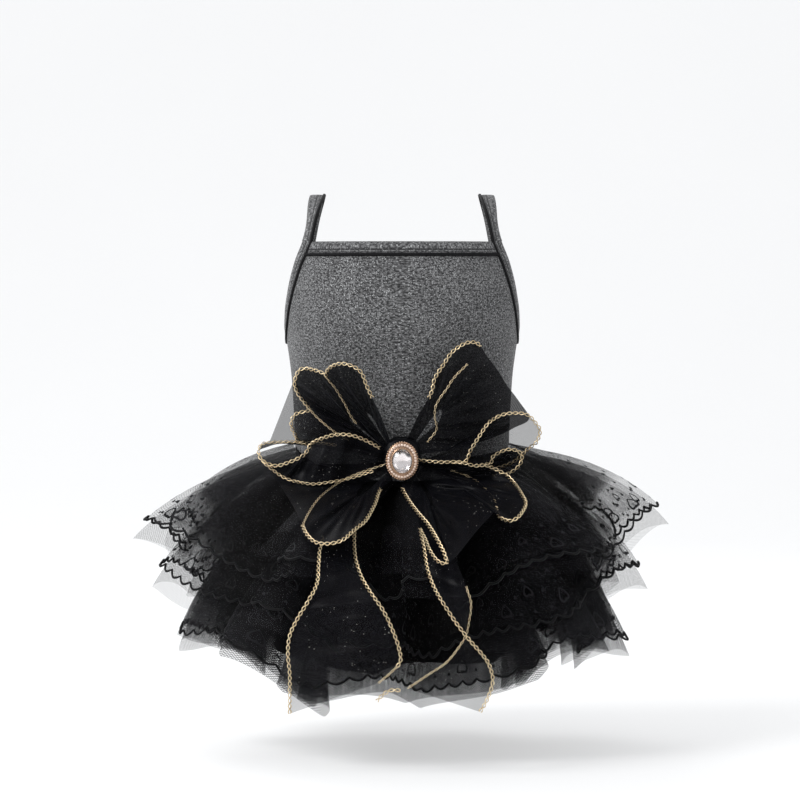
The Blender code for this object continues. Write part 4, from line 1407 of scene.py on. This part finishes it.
for n in range(FOIL_FACETS):
    foil_cup.faces.new((cup[2][n], cup[2][(n + 1) % FOIL_FACETS], middle))
bmesh.ops.recalc_face_normals(foil_cup, faces=foil_cup.faces)
mesh = finished(foil_cup, "foil_cup")
show("foil_cup", mesh, foil, "clear_stone")
mesh.shade_flat()
print("brooch made")

# %% [markdown]
# ## Studio
# A white floor that curves up into a white wall and glows a little, so that it stays nearly white. One
# large soft light stands above and to the left, and weaker ones to the right and behind, so that the net's
# clear edges show.

# %% Floor and backdrop
PAPER_WIDE, PAPER_LONG, PAPER_NEAR = 9.0, 8.0, -2.6
FLAT_LONG, BEND_LONG, FLOOR_LEVEL = 4.2, 1.6, -0.303


def place(u, v):
    run = v * PAPER_LONG
    turn = np.clip((run - FLAT_LONG) / BEND_LONG, 0, 1) * np.pi / 2
    y = np.where(run < FLAT_LONG, PAPER_NEAR + run, PAPER_NEAR + FLAT_LONG + np.sin(turn))
    z = np.where(run < FLAT_LONG, 0.0, 1 - np.cos(turn)) + np.maximum(0, run - FLAT_LONG - BEND_LONG)
    return np.stack([(u - 0.5) * PAPER_WIDE, y, FLOOR_LEVEL + z], axis=-1)


mesh = cloth_mesh("backdrop", 4, 64, place)
backdrop = bpy.data.objects.new("backdrop", mesh)
pieces.objects.link(backdrop)
paper, tree, shader = new_finish(
    "white_paper", Roughness=0.9, Specular_IOR_Level=0.1, Emission_Color=(1, 1, 1, 1), Emission_Strength=0.45
)
grain = noise(tree, 6.0)
link(tree, shader, Base_Color=blend_colours(tree, grain, (0.52, 0.525, 0.53, 1), (0.535, 0.54, 0.545, 1)))
mesh.materials.append(paper)
mesh.shade_smooth()


# %% Lights
def soft_light(name, place, aim, size, power):
    lamp = bpy.data.lights.new(name, "AREA")
    lamp.shape = "DISK"
    lamp.size = size
    lamp.energy = power
    made = bpy.data.objects.new(name, lamp)
    made.location = place
    made.rotation_euler = (Vector(aim) - Vector(place)).to_track_quat("-Z", "Y").to_euler()
    bpy.context.scene.collection.objects.link(made)
    return made


soft_light("key", (-1.4, -1.1, 1.3), (0, 0, -0.15), 1.1, 36)
soft_light("fill", (1.5, -1.2, 0.5), (0, 0, -0.15), 1.2, 3)
soft_light("rear", (-0.6, 1.0, 1.2), (0, 0, -0.15), 0.9, 8)
world = bpy.data.worlds.new("studio")
bpy.context.scene.world = world
world.use_nodes = True
world.node_tree.nodes["Background"].inputs[0].default_value = (0.97, 0.98, 1.0, 1)
world.node_tree.nodes["Background"].inputs[1].default_value = 0.66
bpy.context.scene.view_settings.view_transform = "Standard"
bpy.context.scene.cycles.transparent_max_bounces = 48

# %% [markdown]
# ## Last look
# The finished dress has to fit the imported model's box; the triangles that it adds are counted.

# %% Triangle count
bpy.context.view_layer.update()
total = sum(len(p.vertices) - 2 for o in pieces.objects for p in o.data.polygons if o.name != "backdrop")
print("triangles added:", total)
